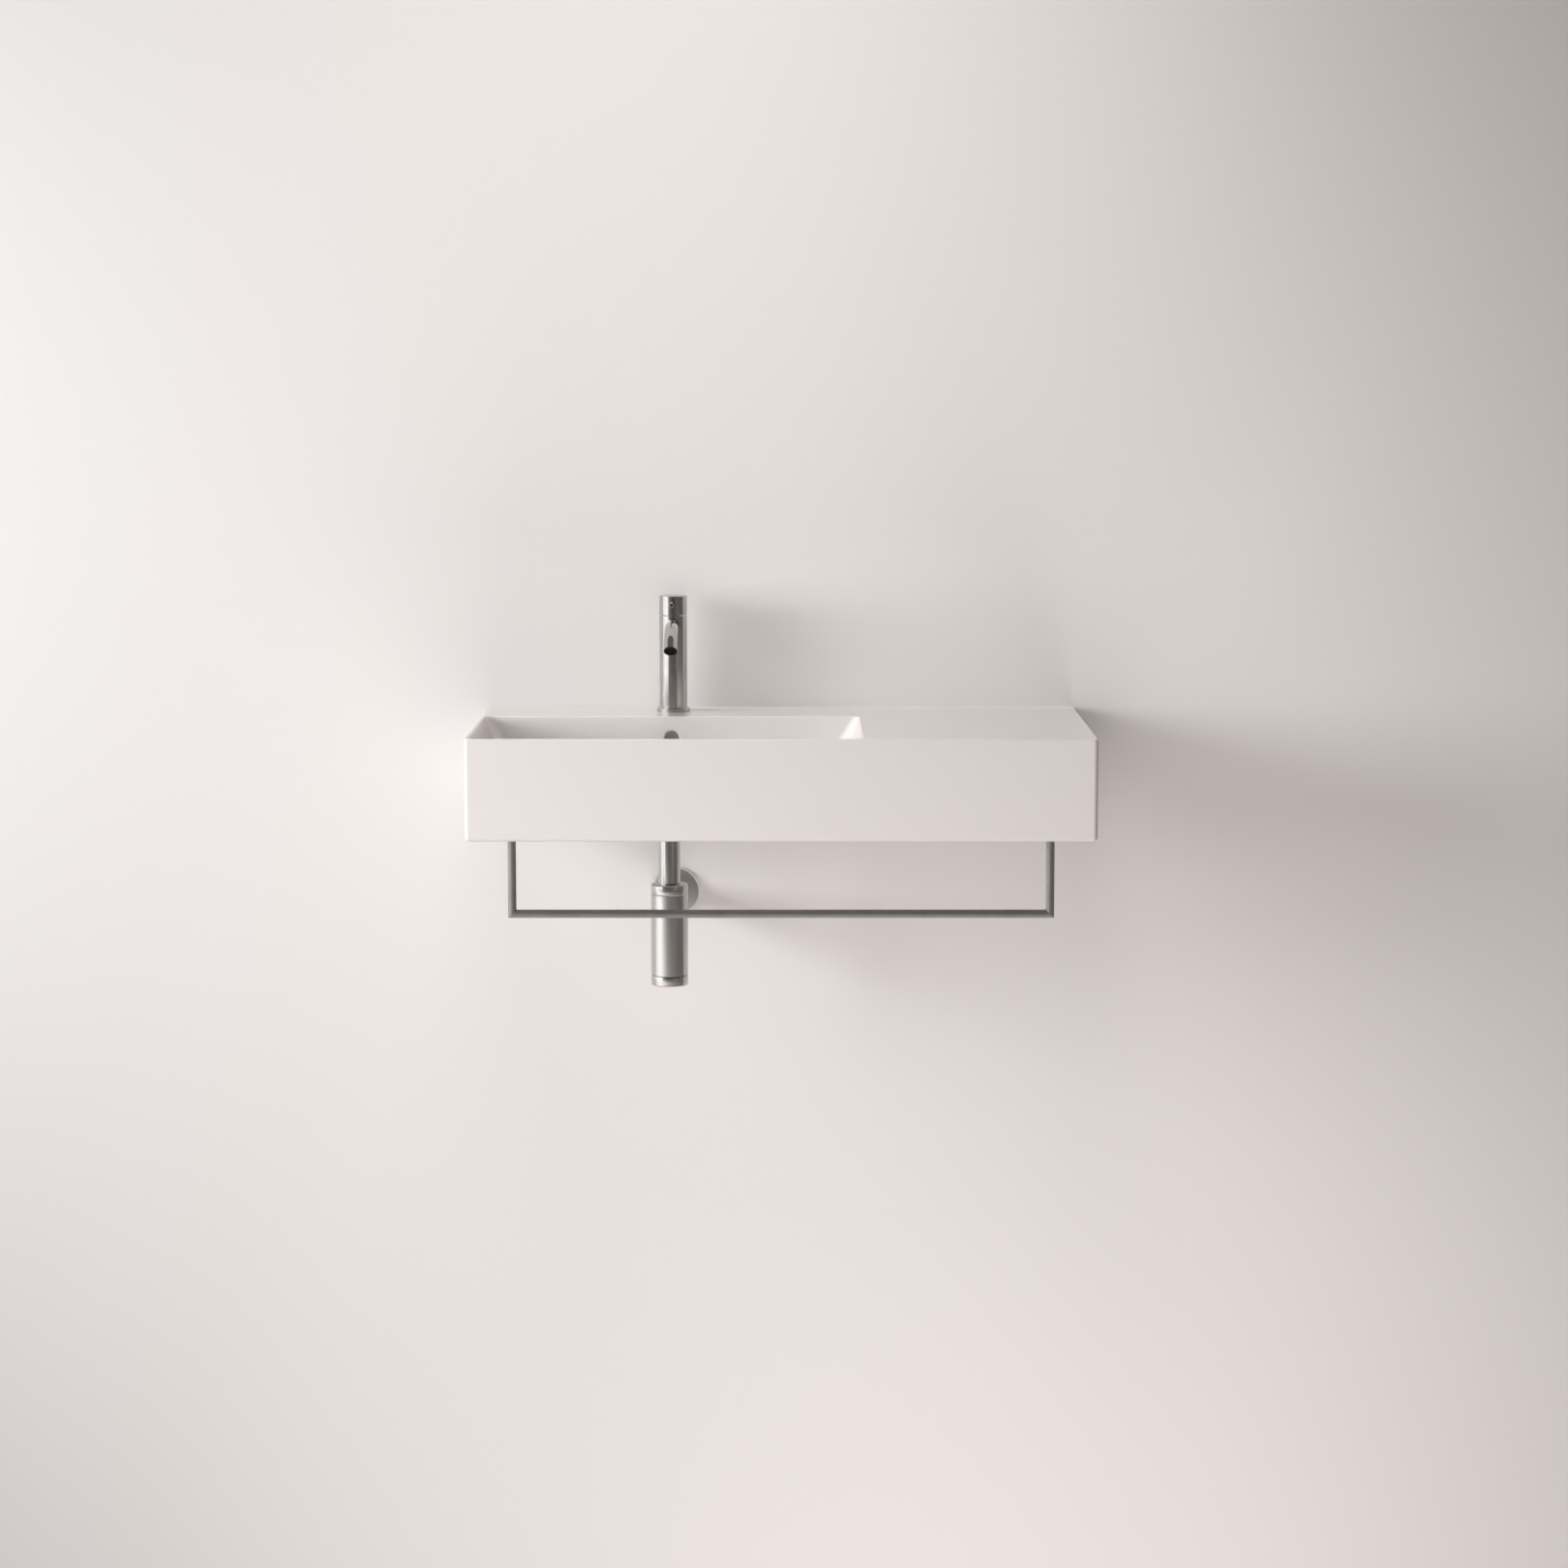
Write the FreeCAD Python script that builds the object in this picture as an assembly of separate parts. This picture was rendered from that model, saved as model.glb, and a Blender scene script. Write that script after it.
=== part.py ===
import FreeCAD, Part
import math
import os
from FreeCAD import Placement, Rotation, Vector

# Wall-hung washbasin: a ceramic body with a bowl on the left and a shelf on the right, a single-lever
# mixer tap, a push-open waste, a bottle trap and a towel rail, with the fixings that hold them.
# Millimetres. X runs to the right along the wall, Y into the wall and Z up.
# The origin lies on the wall plane, midway between the two wall bolts.

# Fits and cuts
fit = 0.1                       # radial room between pieces that are fitted and stay put
running_fit = 0.06              # radial room of a pin that turns
clearance = 0.3                 # room round a moving piece
overrun = 2.0                   # how far a cut runs past the face that it opens

# Ceramic body
basin_width = 900.0
basin_depth = 460.0
basin_height = 147.0
wall_thickness = 10.0           # apron and side walls
back_thickness = 12.0
slab_thickness = 14.0           # ledge and shelf
shell_thickness = 10.0          # bowl
rim_width = 5.5                 # top of the rim along the front and left of the bowl
rim_radius_share = 0.46         # rounding of each side of the rim, of its width
corner_radius = 6.0             # upright front corners
underside_radius = 5.0          # lower outer edge
cavity_radius = 9.0             # inner corners of the hollow

# Bowl
bowl_width = 561.0
ledge_depth = 139.0             # bowl to wall
floor_lift = 35.0               # lowest point of the bowl above the underside
floor_fall = 8.0                # fall of the floor towards the waste
floor_radius = 22.0             # between floor and walls
bowl_corner_radius = 10.0       # upright corners at the rim
bowl_corner_growth = 26.0       # how much wider those corners are at the floor
side_draft = 24.0
front_draft = 9.0
back_draft = 8.0

# Overflow
overflow_diameter = 22.0
overflow_edge_radius = 3.2
overflow_drop = 33.0            # rim to the centre of the hole
duct_width = 26.0
duct_gap = 13.0                 # passage behind and under the bowl shell
duct_wall = 7.0

# Wall fixing
bolt_drop = 75.0                # rim to the wall bolts
bolt_spacing = 560.0
bolt_diameter = 10.0            # end in the wall
bolt_thread_diameter = 9.6      # end with the nut
bolt_in_wall = 60.0
bolt_tail = 6.0
bush_wall = 2.8
bush_flange_width = 6.0
bush_flange_thickness = 4.0
bush_setback = 1.0              # sleeve end in from the wall plane
bolt_washer_diameter = 24.0
bolt_washer_thickness = 2.0
bolt_nut_flats = 17.0
bolt_nut_height = 8.0
service_width = 180.0           # cut-out of the back for the supply valves
service_bolt_margin = 26.0      # axis of the left bolt to the cut-out
service_height = 80.0
service_radius = 15.0

# Mixer tap
tap_wall_distance = 61.0
tap_hole_diameter = 35.0
tap_height = 176.0
tap_diameter = 42.0
cap_height = 28.6
cap_gap = 1.5
cap_edge_radius = 0.8
cap_wall = 4.5
cap_hollow = 11.0               # depth of the hollow under the cap
base_step = 4.0                 # base ring beyond the body
base_height = 6.0
base_edge_radius = 0.8
base_seal_thickness = 1.6
base_seal_inset = 2.0           # ring left on each side of its seal
spigot_length = 2.0             # tap body into the hole of the ledge
inlet_diameter = 8.0            # thread of a supply tail in the body
inlet_depth = 14.0
inlet_spacing = 16.0
inlet_offset = 5.0              # towards the wall
waterway_diameter = 5.0
tail_diameter = 10.0            # supply tails under the body
tail_wall = 1.0                 # at their thread
tail_length = 95.0              # below the ledge

# Spout
spout_diameter = 20.0
spout_wall = 2.5
spout_drop = 43.0               # top of the tap to the axis of the spout
spout_run = 91.0                # tap axis to the start of the bend
spout_bend_radius = 60.0
spout_bend = 48.0
spout_tail = 12.4
spout_socket_wall = 2.0         # spout wall left by its root in the tap body
chamber_height = 14.0
chamber_wall = 4.5              # tap body beside the mixing chamber
aerator_wall = 1.2              # spout wall beside the aerator
aerator_length = 8.0
aerator_flange = 1.2            # aerator beyond the end of the spout
aerator_reveal = 0.2            # its flange in from the spout surface
aerator_recess = 0.6            # its screen in from the flange
aerator_rim = 1.6
aerator_hole_diameter = 2.0
aerator_pitch = 2.8
aerator_rings = 2
aerator_screen_thickness = 3.0

# Cartridge and handle
cartridge_wall_to_body = 7.0    # tap surface to the cartridge
cartridge_height = 38.0
cartridge_wall = 4.0
nut_step = 2.7                  # cartridge nut beyond the cartridge
nut_height = 5.0
nut_setback = 0.4
pivot_drop = 3.0                # top of the tap body to the tilt pin
pivot_diameter = 3.0
turret_rise = 4.0               # turret above the tilt pin
turret_floor = 2.5
stem_width = 6.0
stem_tail = 4.0                 # stem below the tilt pin
stem_socket = 11.0              # stem in the cap
lever_lift = 20.0
lever_diameter = 7.0
lever_drop = 8.0                # top of the cap to the lever axis
lever_reach = 95.0
lever_spigot_diameter = 4.5
lever_edge_radius = 0.6
grub_diameter = 5.0
grub_drop = 14.0                # top of the cap to the grub screw
grub_setback = 1.0

# Tap fixing under the ledge
stud_diameter = 8.0
stud_offset = 9.0               # away from the wall
stud_in_body = 15.0
stud_tail = 8.0
clamp_diameter = 46.0
clamp_slot_width = 12.0
clamp_seal_thickness = 3.0
clamp_plate_thickness = 2.5
clamp_nut_flats = 13.0
clamp_nut_height = 18.0

# Waste
drain_wall_distance = 296.0
waste_diameter = 41.5
waste_wall = 3.5
drain_hole_room = 2.25          # round the waste in the ceramic
flange_overlap = 8.5            # waste flange beyond the hole
flange_thickness = 2.5
recess_depth = 3.5
recess_room = 1.5
boss_height = 25.5
boss_wall = 12.0
top_seal_thickness = 1.5
bottom_seal_thickness = 6.0
bottom_seal_width = 9.0
lock_nut_flats = 56.0
lock_nut_height = 5.5
waste_tail = 6.0                # waste below the lock nut
overflow_slot_width = 14.0
overflow_slot_height = 9.0
overflow_slot_count = 3
spider_drop = 24.0              # flange top to the spider
spider_height = 5.0
spider_arm = 3.0
spider_hub_wall = 2.0
spider_arm_count = 3
click_diameter = 16.0
click_length = 26.0
click_collar = 1.6
plug_lift = 8.0
plug_edge = 3.0                 # flange left bare round the plug
plug_thickness = 3.0
plug_crown = 2.5
plug_stem_diameter = 8.0
plug_guide = 19.0               # stem left in the catch when the plug is up
plug_seal_section = 2.4
plug_seal_inset = 6.0

# Bottle trap
trap_drop = 83.5                # underside of the basin to the top of the trap
trap_diameter = 54.4
trap_wall = 2.5
collar_height = 14.9
collar_lid = 3.0
collar_chamfer = 1.4
seam_chamfer = 0.6              # bevels that meet in the seams of the trap
neck_height = 8.0
neck_wall = 3.0
neck_setback = 4.0              # neck in from the trap surface
trap_top = 4.0
body_height = 119.9
cup_height = 14.4
cup_floor = 4.0
cup_edge_radius = 1.6
cup_thread = 12.0
cup_thread_wall = 2.4
cup_seal_thickness = 0.6
pipe_diameter = 32.0
pipe_wall = 1.2
pipe_flange = 4.0               # rolled edge of the tailpipe
pipe_flange_thickness = 1.6
union_seal_thickness = 1.6
union_wall = 4.0
union_height = 10.9
union_lip = 2.2
dip_gap = 28.0                  # end of the tailpipe above the cup floor
outlet_drop = 39.8              # top of the trap body to the outlet axis
outlet_boss_length = 15.0
outlet_boss_wall = 4.2
outlet_seal_thickness = 4.0
outlet_nut_wall = 4.0
outlet_nut_lip = 3.0
outlet_nut_grip = 9.0           # nut on the thread of the boss
outlet_in_wall = 50.0
outlet_mark_depth = 0.4         # rolled groove at the wall plane
outlet_mark_width = 2.0
rosette_diameter = 74.0
rosette_rim = 3.0
rosette_edge_radius = 4.0
rosette_wall = 1.2
rosette_cone = 3.0              # rise of the face from edge to bore

# Towel rail
rail_diameter = 12.0
rail_inset = 64.0               # side of the basin to the axis of a leg
rail_setback = 45.0             # behind the front of the basin
rail_drop = 110.0               # underside of the basin to the axis of the bar
rail_pad_margin = 18.0          # ceramic beyond the axis of a leg
rail_pad_height = 14.0
rail_pad_room = 1.0             # round the screw in the ceramic
rail_seat_thickness = 1.5
rail_seat_width = 2.0
rail_stud_diameter = 6.0
rail_stud_in_leg = 20.0
rail_stud_tail = 2.0
rail_washer_diameter = 18.0
rail_washer_thickness = 1.6
rail_nut_flats = 10.0
rail_nut_height = 5.0

# Levels and places worked out from the sizes above
rim_z = bolt_drop
base_z = rim_z - basin_height
floor_z = base_z + floor_lift
bowl_drop = basin_height - floor_lift
front_y = -basin_depth
side_x = basin_width / 2
rim_radius = rim_width * rim_radius_share
bowl_left = rim_width - side_x
bowl_right = bowl_left + bowl_width
bowl_front = front_y + rim_width
bowl_back = -ledge_depth
bowl_x = (bowl_left + bowl_right) / 2
tap_y = -tap_wall_distance
drain_y = -drain_wall_distance
rail_y = front_y + rail_setback
rail_span = basin_width - 2 * rail_inset
bolt_bore = bolt_thread_diameter / 2 + fit
bush_radius = bolt_bore + bush_wall
dish_reach = bowl_width / 2
dish_radius = (dish_reach ** 2 + floor_fall ** 2) / (2 * floor_fall)

waste_radius = waste_diameter / 2
drain_radius = waste_radius + drain_hole_room
flange_radius = drain_radius + flange_overlap
recess_z = floor_z - recess_depth
boss_z = recess_z - boss_height
flange_z = recess_z + top_seal_thickness
flange_top_z = flange_z + flange_thickness
lock_seal_z = boss_z - bottom_seal_thickness
lock_nut_z = lock_seal_z - lock_nut_height
waste_end_z = lock_nut_z - waste_tail
pipe_radius = pipe_diameter / 2
pipe_flange_z = waste_end_z - union_seal_thickness - pipe_flange_thickness
union_z = pipe_flange_z - union_lip
union_radius = waste_radius + fit + union_wall

trap_radius = trap_diameter / 2
trap_top_z = base_z - trap_drop
collar_z = trap_top_z - collar_height
neck_z = collar_z + neck_height
neck_radius = trap_radius - neck_setback
body_z = collar_z - body_height
cup_z = body_z - cup_seal_thickness - cup_height
outlet_z = collar_z - outlet_drop
outlet_boss_radius = pipe_radius + clearance + outlet_boss_wall
outlet_face_y = drain_y + trap_radius + outlet_boss_length

tap_radius = tap_diameter / 2
cap_z = tap_height - cap_height
tap_top_z = cap_z - cap_gap
cartridge_radius = tap_radius - cartridge_wall_to_body
nut_radius = cartridge_radius + nut_step
cartridge_top_z = tap_top_z - nut_setback - nut_height
cartridge_z = cartridge_top_z - cartridge_height
turret_radius = cartridge_radius - cartridge_wall - clearance
pivot_z = tap_top_z - pivot_drop
stem_half = stem_width / 2
turret_z = pivot_z - math.hypot(stem_tail, stem_half) - clearance - turret_floor
spout_z = tap_height - spout_drop
spout_radius = spout_diameter / 2
spout_bore = spout_radius - spout_wall
spigot_radius = spout_radius - spout_socket_wall
chamber_radius = tap_radius - chamber_wall
aerator_radius = spout_radius - aerator_wall


def block(x0, x1, y0, y1, z0, z1):
    """Box between two corners."""
    return Part.makeBox(x1 - x0, y1 - y0, z1 - z0, Vector(x0, y0, z0))


def rod(radius, z0, z1):
    """Upright cylinder about the Z axis."""
    return Part.makeCylinder(radius, z1 - z0, Vector(0, 0, z0))


def turned(*profile):
    """Solid of revolution about the Z axis from its (radius, height) corners."""
    points = [Vector(radius, 0, height) for radius, height in profile]
    face = Part.Face(Part.makePolygon(points + points[:1]))
    return face.revolve(Vector(0, 0, 0), Vector(0, 0, 1), 360)


def ring(outer, inner, z0, z1):
    """Upright ring of rectangular section."""
    return turned((inner, z0), (outer, z0), (outer, z1), (inner, z1))


def hexagon(flats, z0, z1):
    """Upright hexagonal prism from its width across flats."""
    reach = flats / math.sqrt(3)
    turns = [math.radians(60 * corner) for corner in range(6)]
    points = [Vector(reach * math.cos(turn), reach * math.sin(turn), z0) for turn in turns]
    return Part.Face(Part.makePolygon(points + points[:1])).extrude(Vector(0, 0, z1 - z0))


def hex_nut(flats, bore, z0, z1):
    """Nut whose corners are turned down at both ends."""
    corner = flats / math.sqrt(3)
    drop = (corner - flats / 2) * math.tan(math.radians(30))
    crown = turned(
        (bore, z0), (flats / 2, z0), (corner, z0 + drop), (corner, z1 - drop), (flats / 2, z1), (bore, z1)
    )
    return hexagon(flats, z0, z1).common(crown)


def is_circle(edge):
    """Whether an edge is a full circle or an arc of one."""
    return edge.Curve.TypeId == "Part::GeomCircle"


def round_rims(solid, radius, *places):
    """Rounds the circular edges at the given (radius, height) places of a turned solid."""
    rims = []
    for edge in solid.Edges:
        if is_circle(edge):
            found = (edge.Curve.Radius, edge.Curve.Center.z)
            if any(math.dist(found, place) < radius / 10 for place in places):
                rims.append(edge)
    return solid.makeFillet(radius, rims)


def moved(solid, x=0, y=0, z=0):
    """Copy of a solid shifted to its place."""
    return solid.translated(Vector(x, y, z))


def aimed(solid, direction, x=0, y=0, z=0):
    """Copy of a solid whose Z axis is turned to a direction and shifted to its place."""
    turn = Rotation(Vector(0, 0, 1), Vector(*direction))
    return solid.transformed(Placement(Vector(x, y, z), turn).toMatrix())


def pair(solid, spacing):
    """Two copies of a solid side by side along X."""
    return Part.makeCompound([moved(solid, x=side * spacing / 2) for side in (-1, 1)])


def tap_at(solid):
    """Copy of a solid drawn about the tap axis, its heights measured from the ledge."""
    return moved(solid, bowl_x, tap_y, rim_z)


def drain_at(solid):
    """Copy of a solid drawn about the axis of the waste, at its true height."""
    return moved(solid, bowl_x, drain_y)


def rounded_rectangle(x0, x1, y0, y1, radius, z):
    """Closed outline of four lines and four quarter circles."""
    corners = ((x1, y0, 270), (x1, y1, 0), (x0, y1, 90), (x0, y0, 180))
    arcs = []
    for x, y, start in corners:
        centre = Vector(
            x - radius if x == x1 else x + radius,
            y - radius if y == y1 else y + radius,
            z,
        )
        circle = Part.Circle(centre, Vector(0, 0, 1), radius)
        arcs.append(circle.toShape(math.radians(start), math.radians(start + 90)))
    edges = []
    for arc, following in zip(arcs, arcs[1:] + arcs[:1]):
        edges.append(arc)
        edges.append(Part.makeLine(arc.Vertexes[-1].Point, following.Vertexes[0].Point))
    return Part.Wire(edges)


def bowl_section(depth, growth):
    """Outline of the bowl at a depth below the rim, grown outwards by a wall."""
    lean = [math.radians(draft) for draft in (side_draft, front_draft, back_draft)]
    side, front, back = [growth / math.cos(turn) - depth * math.tan(turn) for turn in lean]
    radius = bowl_corner_radius + growth + bowl_corner_growth * depth / bowl_drop
    return rounded_rectangle(
        bowl_left - side, bowl_right + side, bowl_front - front, bowl_back + back, radius, rim_z - depth
    )


def bowl_solid(growth):
    """The bowl as a solid: tapered walls, a dished floor and a round between them."""
    ends = (-overrun, bowl_drop + growth + overrun)
    walls = Part.makeLoft([bowl_section(depth, growth) for depth in ends], True, True)
    centre = Vector(bowl_x, drain_y, floor_z + dish_radius)
    dish = Part.makeSphere(dish_radius + growth, centre, Vector(0, 1, 0))
    solid = walls.common(dish)
    floor = next(face for face in solid.Faces if face.Surface.TypeId == "Part::GeomSphere")
    return solid.makeFillet(floor_radius + growth, floor.Edges)


def outer_block():
    """Outside of the ceramic: flat at the wall, rounded in front, at the rim and underneath."""
    plan = rounded_rectangle(-side_x, side_x, front_y, corner_radius * 2, corner_radius, base_z)
    solid = Part.Face(plan).extrude(Vector(0, 0, basin_height))
    solid = solid.common(block(-side_x, side_x, front_y, 0, base_z, rim_z))
    for level, radius in ((base_z, underside_radius), (rim_z, rim_radius)):
        edges = []
        for edge in solid.Edges:
            heights = [vertex.Z for vertex in edge.Vertexes]
            at_wall = all(abs(vertex.Y) < fit for vertex in edge.Vertexes)
            if not at_wall and all(abs(height - level) < fit for height in heights):
                edges.append(edge)
        solid = solid.makeFillet(radius, edges)
    return solid


def rounded_pocket():
    """Hollow of the body from below, before the bowl and its pads are left standing in it."""
    plan = rounded_rectangle(
        wall_thickness - side_x,
        side_x - wall_thickness,
        front_y + wall_thickness,
        -back_thickness,
        cavity_radius + clearance,
        base_z - overrun,
    )
    top_z = rim_z - slab_thickness
    solid = Part.Face(plan).extrude(Vector(0, 0, top_z - base_z + overrun))
    top = max(solid.Faces, key=lambda face: face.CenterOfMass.z)
    return solid.makeFillet(cavity_radius, top.Edges)


def rail_pads():
    """Ceramic webs in the two front corners that the towel rail is bolted to."""
    inner_x = rail_span / 2 - rail_pad_margin
    back_y = rail_y + rail_pad_margin
    pads = []
    for side in (-1, 1):
        x0, x1 = sorted((side * inner_x, side * side_x))
        pad = block(x0, x1, front_y, back_y, base_z, base_z + rail_pad_height)
        corner = [
            edge
            for edge in pad.Edges
            if all(abs(v.X - side * inner_x) + abs(v.Y - back_y) < fit for v in edge.Vertexes)
        ]
        pads.append(pad.makeFillet(cavity_radius, corner))
    return pads


def overflow_duct(wall):
    """Passage from the overflow down behind the bowl and under its floor, or its outside."""
    half = duct_width / 2 + wall
    hole_back = bowl_back - overflow_drop * math.tan(math.radians(back_draft))
    back_y = hole_back + shell_thickness + duct_gap + wall
    top_z = rim_z - overflow_drop + overflow_diameter / 2 + overflow_edge_radius + wall
    low_z = boss_z + duct_wall - wall
    return block(bowl_x - half, bowl_x + half, drain_y, back_y, low_z, top_z)


def ceramic_basin():
    """Ceramic body with its bowl, ledge, shelf, overflow, holes and hollow underside."""
    body = outer_block().cut(bowl_solid(0))
    rim = []
    for edge in body.Edges:
        inside = bowl_left - fit < edge.CenterOfMass.x < bowl_right + fit
        inside = inside and bowl_front - fit < edge.CenterOfMass.y < bowl_back + fit
        if inside and all(abs(vertex.Z - rim_z) < fit for vertex in edge.Vertexes):
            rim.append(edge)
    body = body.makeFillet(rim_radius, rim)

    overflow = aimed(rod(overflow_diameter / 2, 0, ledge_depth), (0, 1, 0), bowl_x)
    overflow = moved(overflow, y=bowl_back - ledge_depth + shell_thickness, z=rim_z - overflow_drop)
    body = body.cut(overflow)
    mouth = []
    for edge in body.Edges:
        in_bowl = all(vertex.Y < bowl_back for vertex in edge.Vertexes)
        offsets = [(v.X - bowl_x, v.Z - rim_z + overflow_drop) for v in edge.Vertexes]
        if in_bowl and all(math.hypot(*offset) < overflow_diameter / 2 + fit for offset in offsets):
            mouth.append(edge)
    body = body.makeFillet(overflow_edge_radius, mouth)

    bowl_outside = bowl_solid(shell_thickness)
    boss = drain_at(rod(drain_radius + boss_wall, boss_z, floor_z))
    kept = [bowl_outside, boss, overflow_duct(duct_wall)] + rail_pads()
    body = body.cut(rounded_pocket().cut(kept))
    body = body.cut(overflow_duct(0).cut(bowl_outside))

    recess = drain_at(rod(flange_radius + recess_room, recess_z, floor_z + overrun))
    drain = drain_at(rod(drain_radius, boss_z - overrun, recess_z + overrun))
    tap_hole = tap_at(rod(tap_hole_diameter / 2, -slab_thickness - overrun, overrun))
    bush_hole = aimed(rod(bush_radius, -overrun, back_thickness + overrun), (0, -1, 0))
    pad_hole = rod(rail_stud_diameter / 2 + rail_pad_room, -overrun, rail_pad_height + overrun)
    cuts = [recess, drain, tap_hole, service_opening(), pair(bush_hole, bolt_spacing)]
    cuts.append(moved(pair(pad_hole, rail_span), y=rail_y, z=base_z))
    return body.cut(cuts)


def service_opening():
    """Cut-out of the back wall beside the left bolt, open below, for the supply valves."""
    left_x = service_bolt_margin - bolt_spacing / 2
    right_x = left_x + service_width
    top_z = base_z + service_height
    opening = block(left_x, right_x, -back_thickness - overrun, overrun, base_z - overrun, top_z)
    corners = []
    for edge in opening.Edges:
        at_side = min(edge.CenterOfMass.x - left_x, right_x - edge.CenterOfMass.x) < fit
        if at_side and all(abs(vertex.Z - top_z) < fit for vertex in edge.Vertexes):
            corners.append(edge)
    return opening.makeFillet(service_radius, corners)


def wall_bolts():
    """Threaded rods that stand out of the wall through the back of the basin."""
    inside = back_thickness + bush_flange_thickness + bolt_washer_thickness + bolt_nut_height + bolt_tail
    wall_end = rod(bolt_diameter / 2, -bolt_in_wall, 0)
    nut_end = rod(bolt_thread_diameter / 2, 0, inside)
    return pair(aimed(wall_end.fuse(nut_end), (0, -1, 0)), bolt_spacing)


def wall_bushes():
    """Plastic sleeves that keep the bolts off the ceramic."""
    seat = back_thickness
    bush = turned(
        (bolt_bore, bush_setback),
        (bush_radius - fit, bush_setback),
        (bush_radius - fit, seat),
        (bush_radius + bush_flange_width, seat),
        (bush_radius + bush_flange_width, seat + bush_flange_thickness),
        (bolt_bore, seat + bush_flange_thickness),
    )
    return pair(aimed(bush, (0, -1, 0)), bolt_spacing)


def wall_washers():
    """Steel washers on the bushes."""
    seat = back_thickness + bush_flange_thickness
    washer = ring(bolt_washer_diameter / 2, bolt_bore, seat, seat + bolt_washer_thickness)
    return pair(aimed(washer, (0, -1, 0)), bolt_spacing)


def wall_nuts():
    """Nuts that pull the basin to the wall."""
    seat = back_thickness + bush_flange_thickness + bolt_washer_thickness
    nut = hex_nut(bolt_nut_flats, bolt_bore, seat, seat + bolt_nut_height)
    return pair(aimed(nut, (0, -1, 0)), bolt_spacing)


# Mixer tap: heights are measured from the ledge, about the tap axis

spigot_outer = tap_hole_diameter / 2 - clearance


def base_seal_ring(room, z0):
    """Ring between the two lands under the base ring, less some room on each side."""
    inner = spigot_outer + fit + base_seal_inset
    outer = tap_radius + base_step - base_seal_inset
    return ring(outer - room, inner + room, z0, base_seal_thickness)


def tap_base_ring():
    """Ring under the tap body, undercut for its seal."""
    outer = tap_radius + base_step
    solid = ring(outer, spigot_outer + fit, 0, base_height)
    solid = round_rims(solid, base_edge_radius, (outer, base_height))
    return tap_at(solid.cut(base_seal_ring(0, -overrun)))


def tap_base_seal():
    """Flat seal in the undercut of the base ring."""
    return tap_at(base_seal_ring(fit, 0))


def tap_body():
    """Body with the cartridge bore, mixing chamber, waterways and inlets."""
    solid = turned(
        (0, -spigot_length),
        (spigot_outer, -spigot_length),
        (spigot_outer, base_height),
        (tap_radius, base_height),
        (tap_radius, tap_top_z),
        (0, tap_top_z),
    )
    nut_bore = rod(nut_radius + fit, cartridge_top_z, tap_top_z + overrun)
    bore = rod(cartridge_radius + fit, cartridge_z, cartridge_top_z + overrun)
    chamber = rod(chamber_radius, spout_z - chamber_height / 2, spout_z + chamber_height / 2)
    outlet = aimed(rod(spigot_radius + fit, 0, tap_radius + overrun), (0, -1, 0), z=spout_z)
    cuts = [nut_bore, bore, chamber.fuse(outlet).removeSplitter()]
    for side in (-1, 1):
        inlet = rod(inlet_diameter / 2 + fit, -spigot_length - overrun, inlet_depth - spigot_length)
        waterway = rod(waterway_diameter / 2, 0, cartridge_z + overrun)
        cuts.append(moved(inlet, side * inlet_spacing / 2, inlet_offset))
        cuts.append(moved(waterway, side * inlet_spacing / 2, inlet_offset))
    stud_hole = rod(stud_diameter / 2 + fit, -spigot_length - overrun, stud_in_body - spigot_length)
    cuts.append(moved(stud_hole, y=-stud_offset))
    return tap_at(solid.cut(cuts))


def inlet_tails():
    """Supply tails for hot and cold, screwed into the underside of the body."""
    thread = inlet_diameter / 2
    shoulder = -spigot_length - fit
    tail = turned(
        (thread - tail_wall, -tail_length),
        (tail_diameter / 2, -tail_length),
        (tail_diameter / 2, shoulder),
        (thread, shoulder),
        (thread, inlet_depth - spigot_length - fit),
        (thread - tail_wall, inlet_depth - spigot_length - fit),
    )
    return tap_at(moved(pair(tail, inlet_spacing), y=inlet_offset))


def spout_path(start):
    """Centre line of the spout from a distance off the tap axis: a run, a bend and a tail."""
    bend = math.radians(spout_bend)

    def on_bend(turn):
        return Vector(
            0,
            -spout_run - spout_bend_radius * math.sin(turn),
            spout_z - spout_bend_radius * (1 - math.cos(turn)),
        )

    aim = Vector(0, -math.cos(bend), -math.sin(bend))
    end = on_bend(bend) + aim * spout_tail
    edges = [
        Part.makeLine(Vector(0, -start, spout_z), on_bend(0)),
        Part.Arc(on_bend(0), on_bend(bend / 2), on_bend(bend)).toShape(),
        Part.makeLine(on_bend(bend), end),
    ]
    return Part.Wire(edges), end, aim


def spout_sweep(radius, start):
    """Solid bar along the centre line of the spout."""
    path = spout_path(start)[0]
    circle = Part.makeCircle(radius, Vector(0, -start, spout_z), Vector(0, -1, 0))
    return path.makePipeShell([Part.Wire(circle)], True, False)


def spout_tube():
    """Bent tube with a spigot in the tap body and a socket for the aerator."""
    end, aim = spout_path(0)[1:]
    outside = spout_sweep(spout_radius, 0).cut(rod(tap_radius, 0, tap_height))
    root = nut_radius + fit + clearance
    spigot = aimed(rod(spigot_radius, root, spout_run), (0, -1, 0), z=spout_z)
    socket = aimed(rod(aerator_radius, -aerator_length, overrun), aim, *end)
    solid = outside.fuse(spigot).cut([spout_sweep(spout_bore, 0), socket])
    return tap_at(solid.removeSplitter())


def aerator_housing():
    """Threaded ring in the end of the spout, with a flange over the end."""
    end, aim = spout_path(0)[1:]
    outer = aerator_radius - fit
    inner = outer - aerator_rim
    flange = spout_radius - aerator_reveal
    solid = turned(
        (inner, -aerator_length), (outer, -aerator_length), (outer, 0),
        (flange, 0), (flange, aerator_flange), (inner, aerator_flange),
    )
    return tap_at(aimed(solid, aim, *end))


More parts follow.
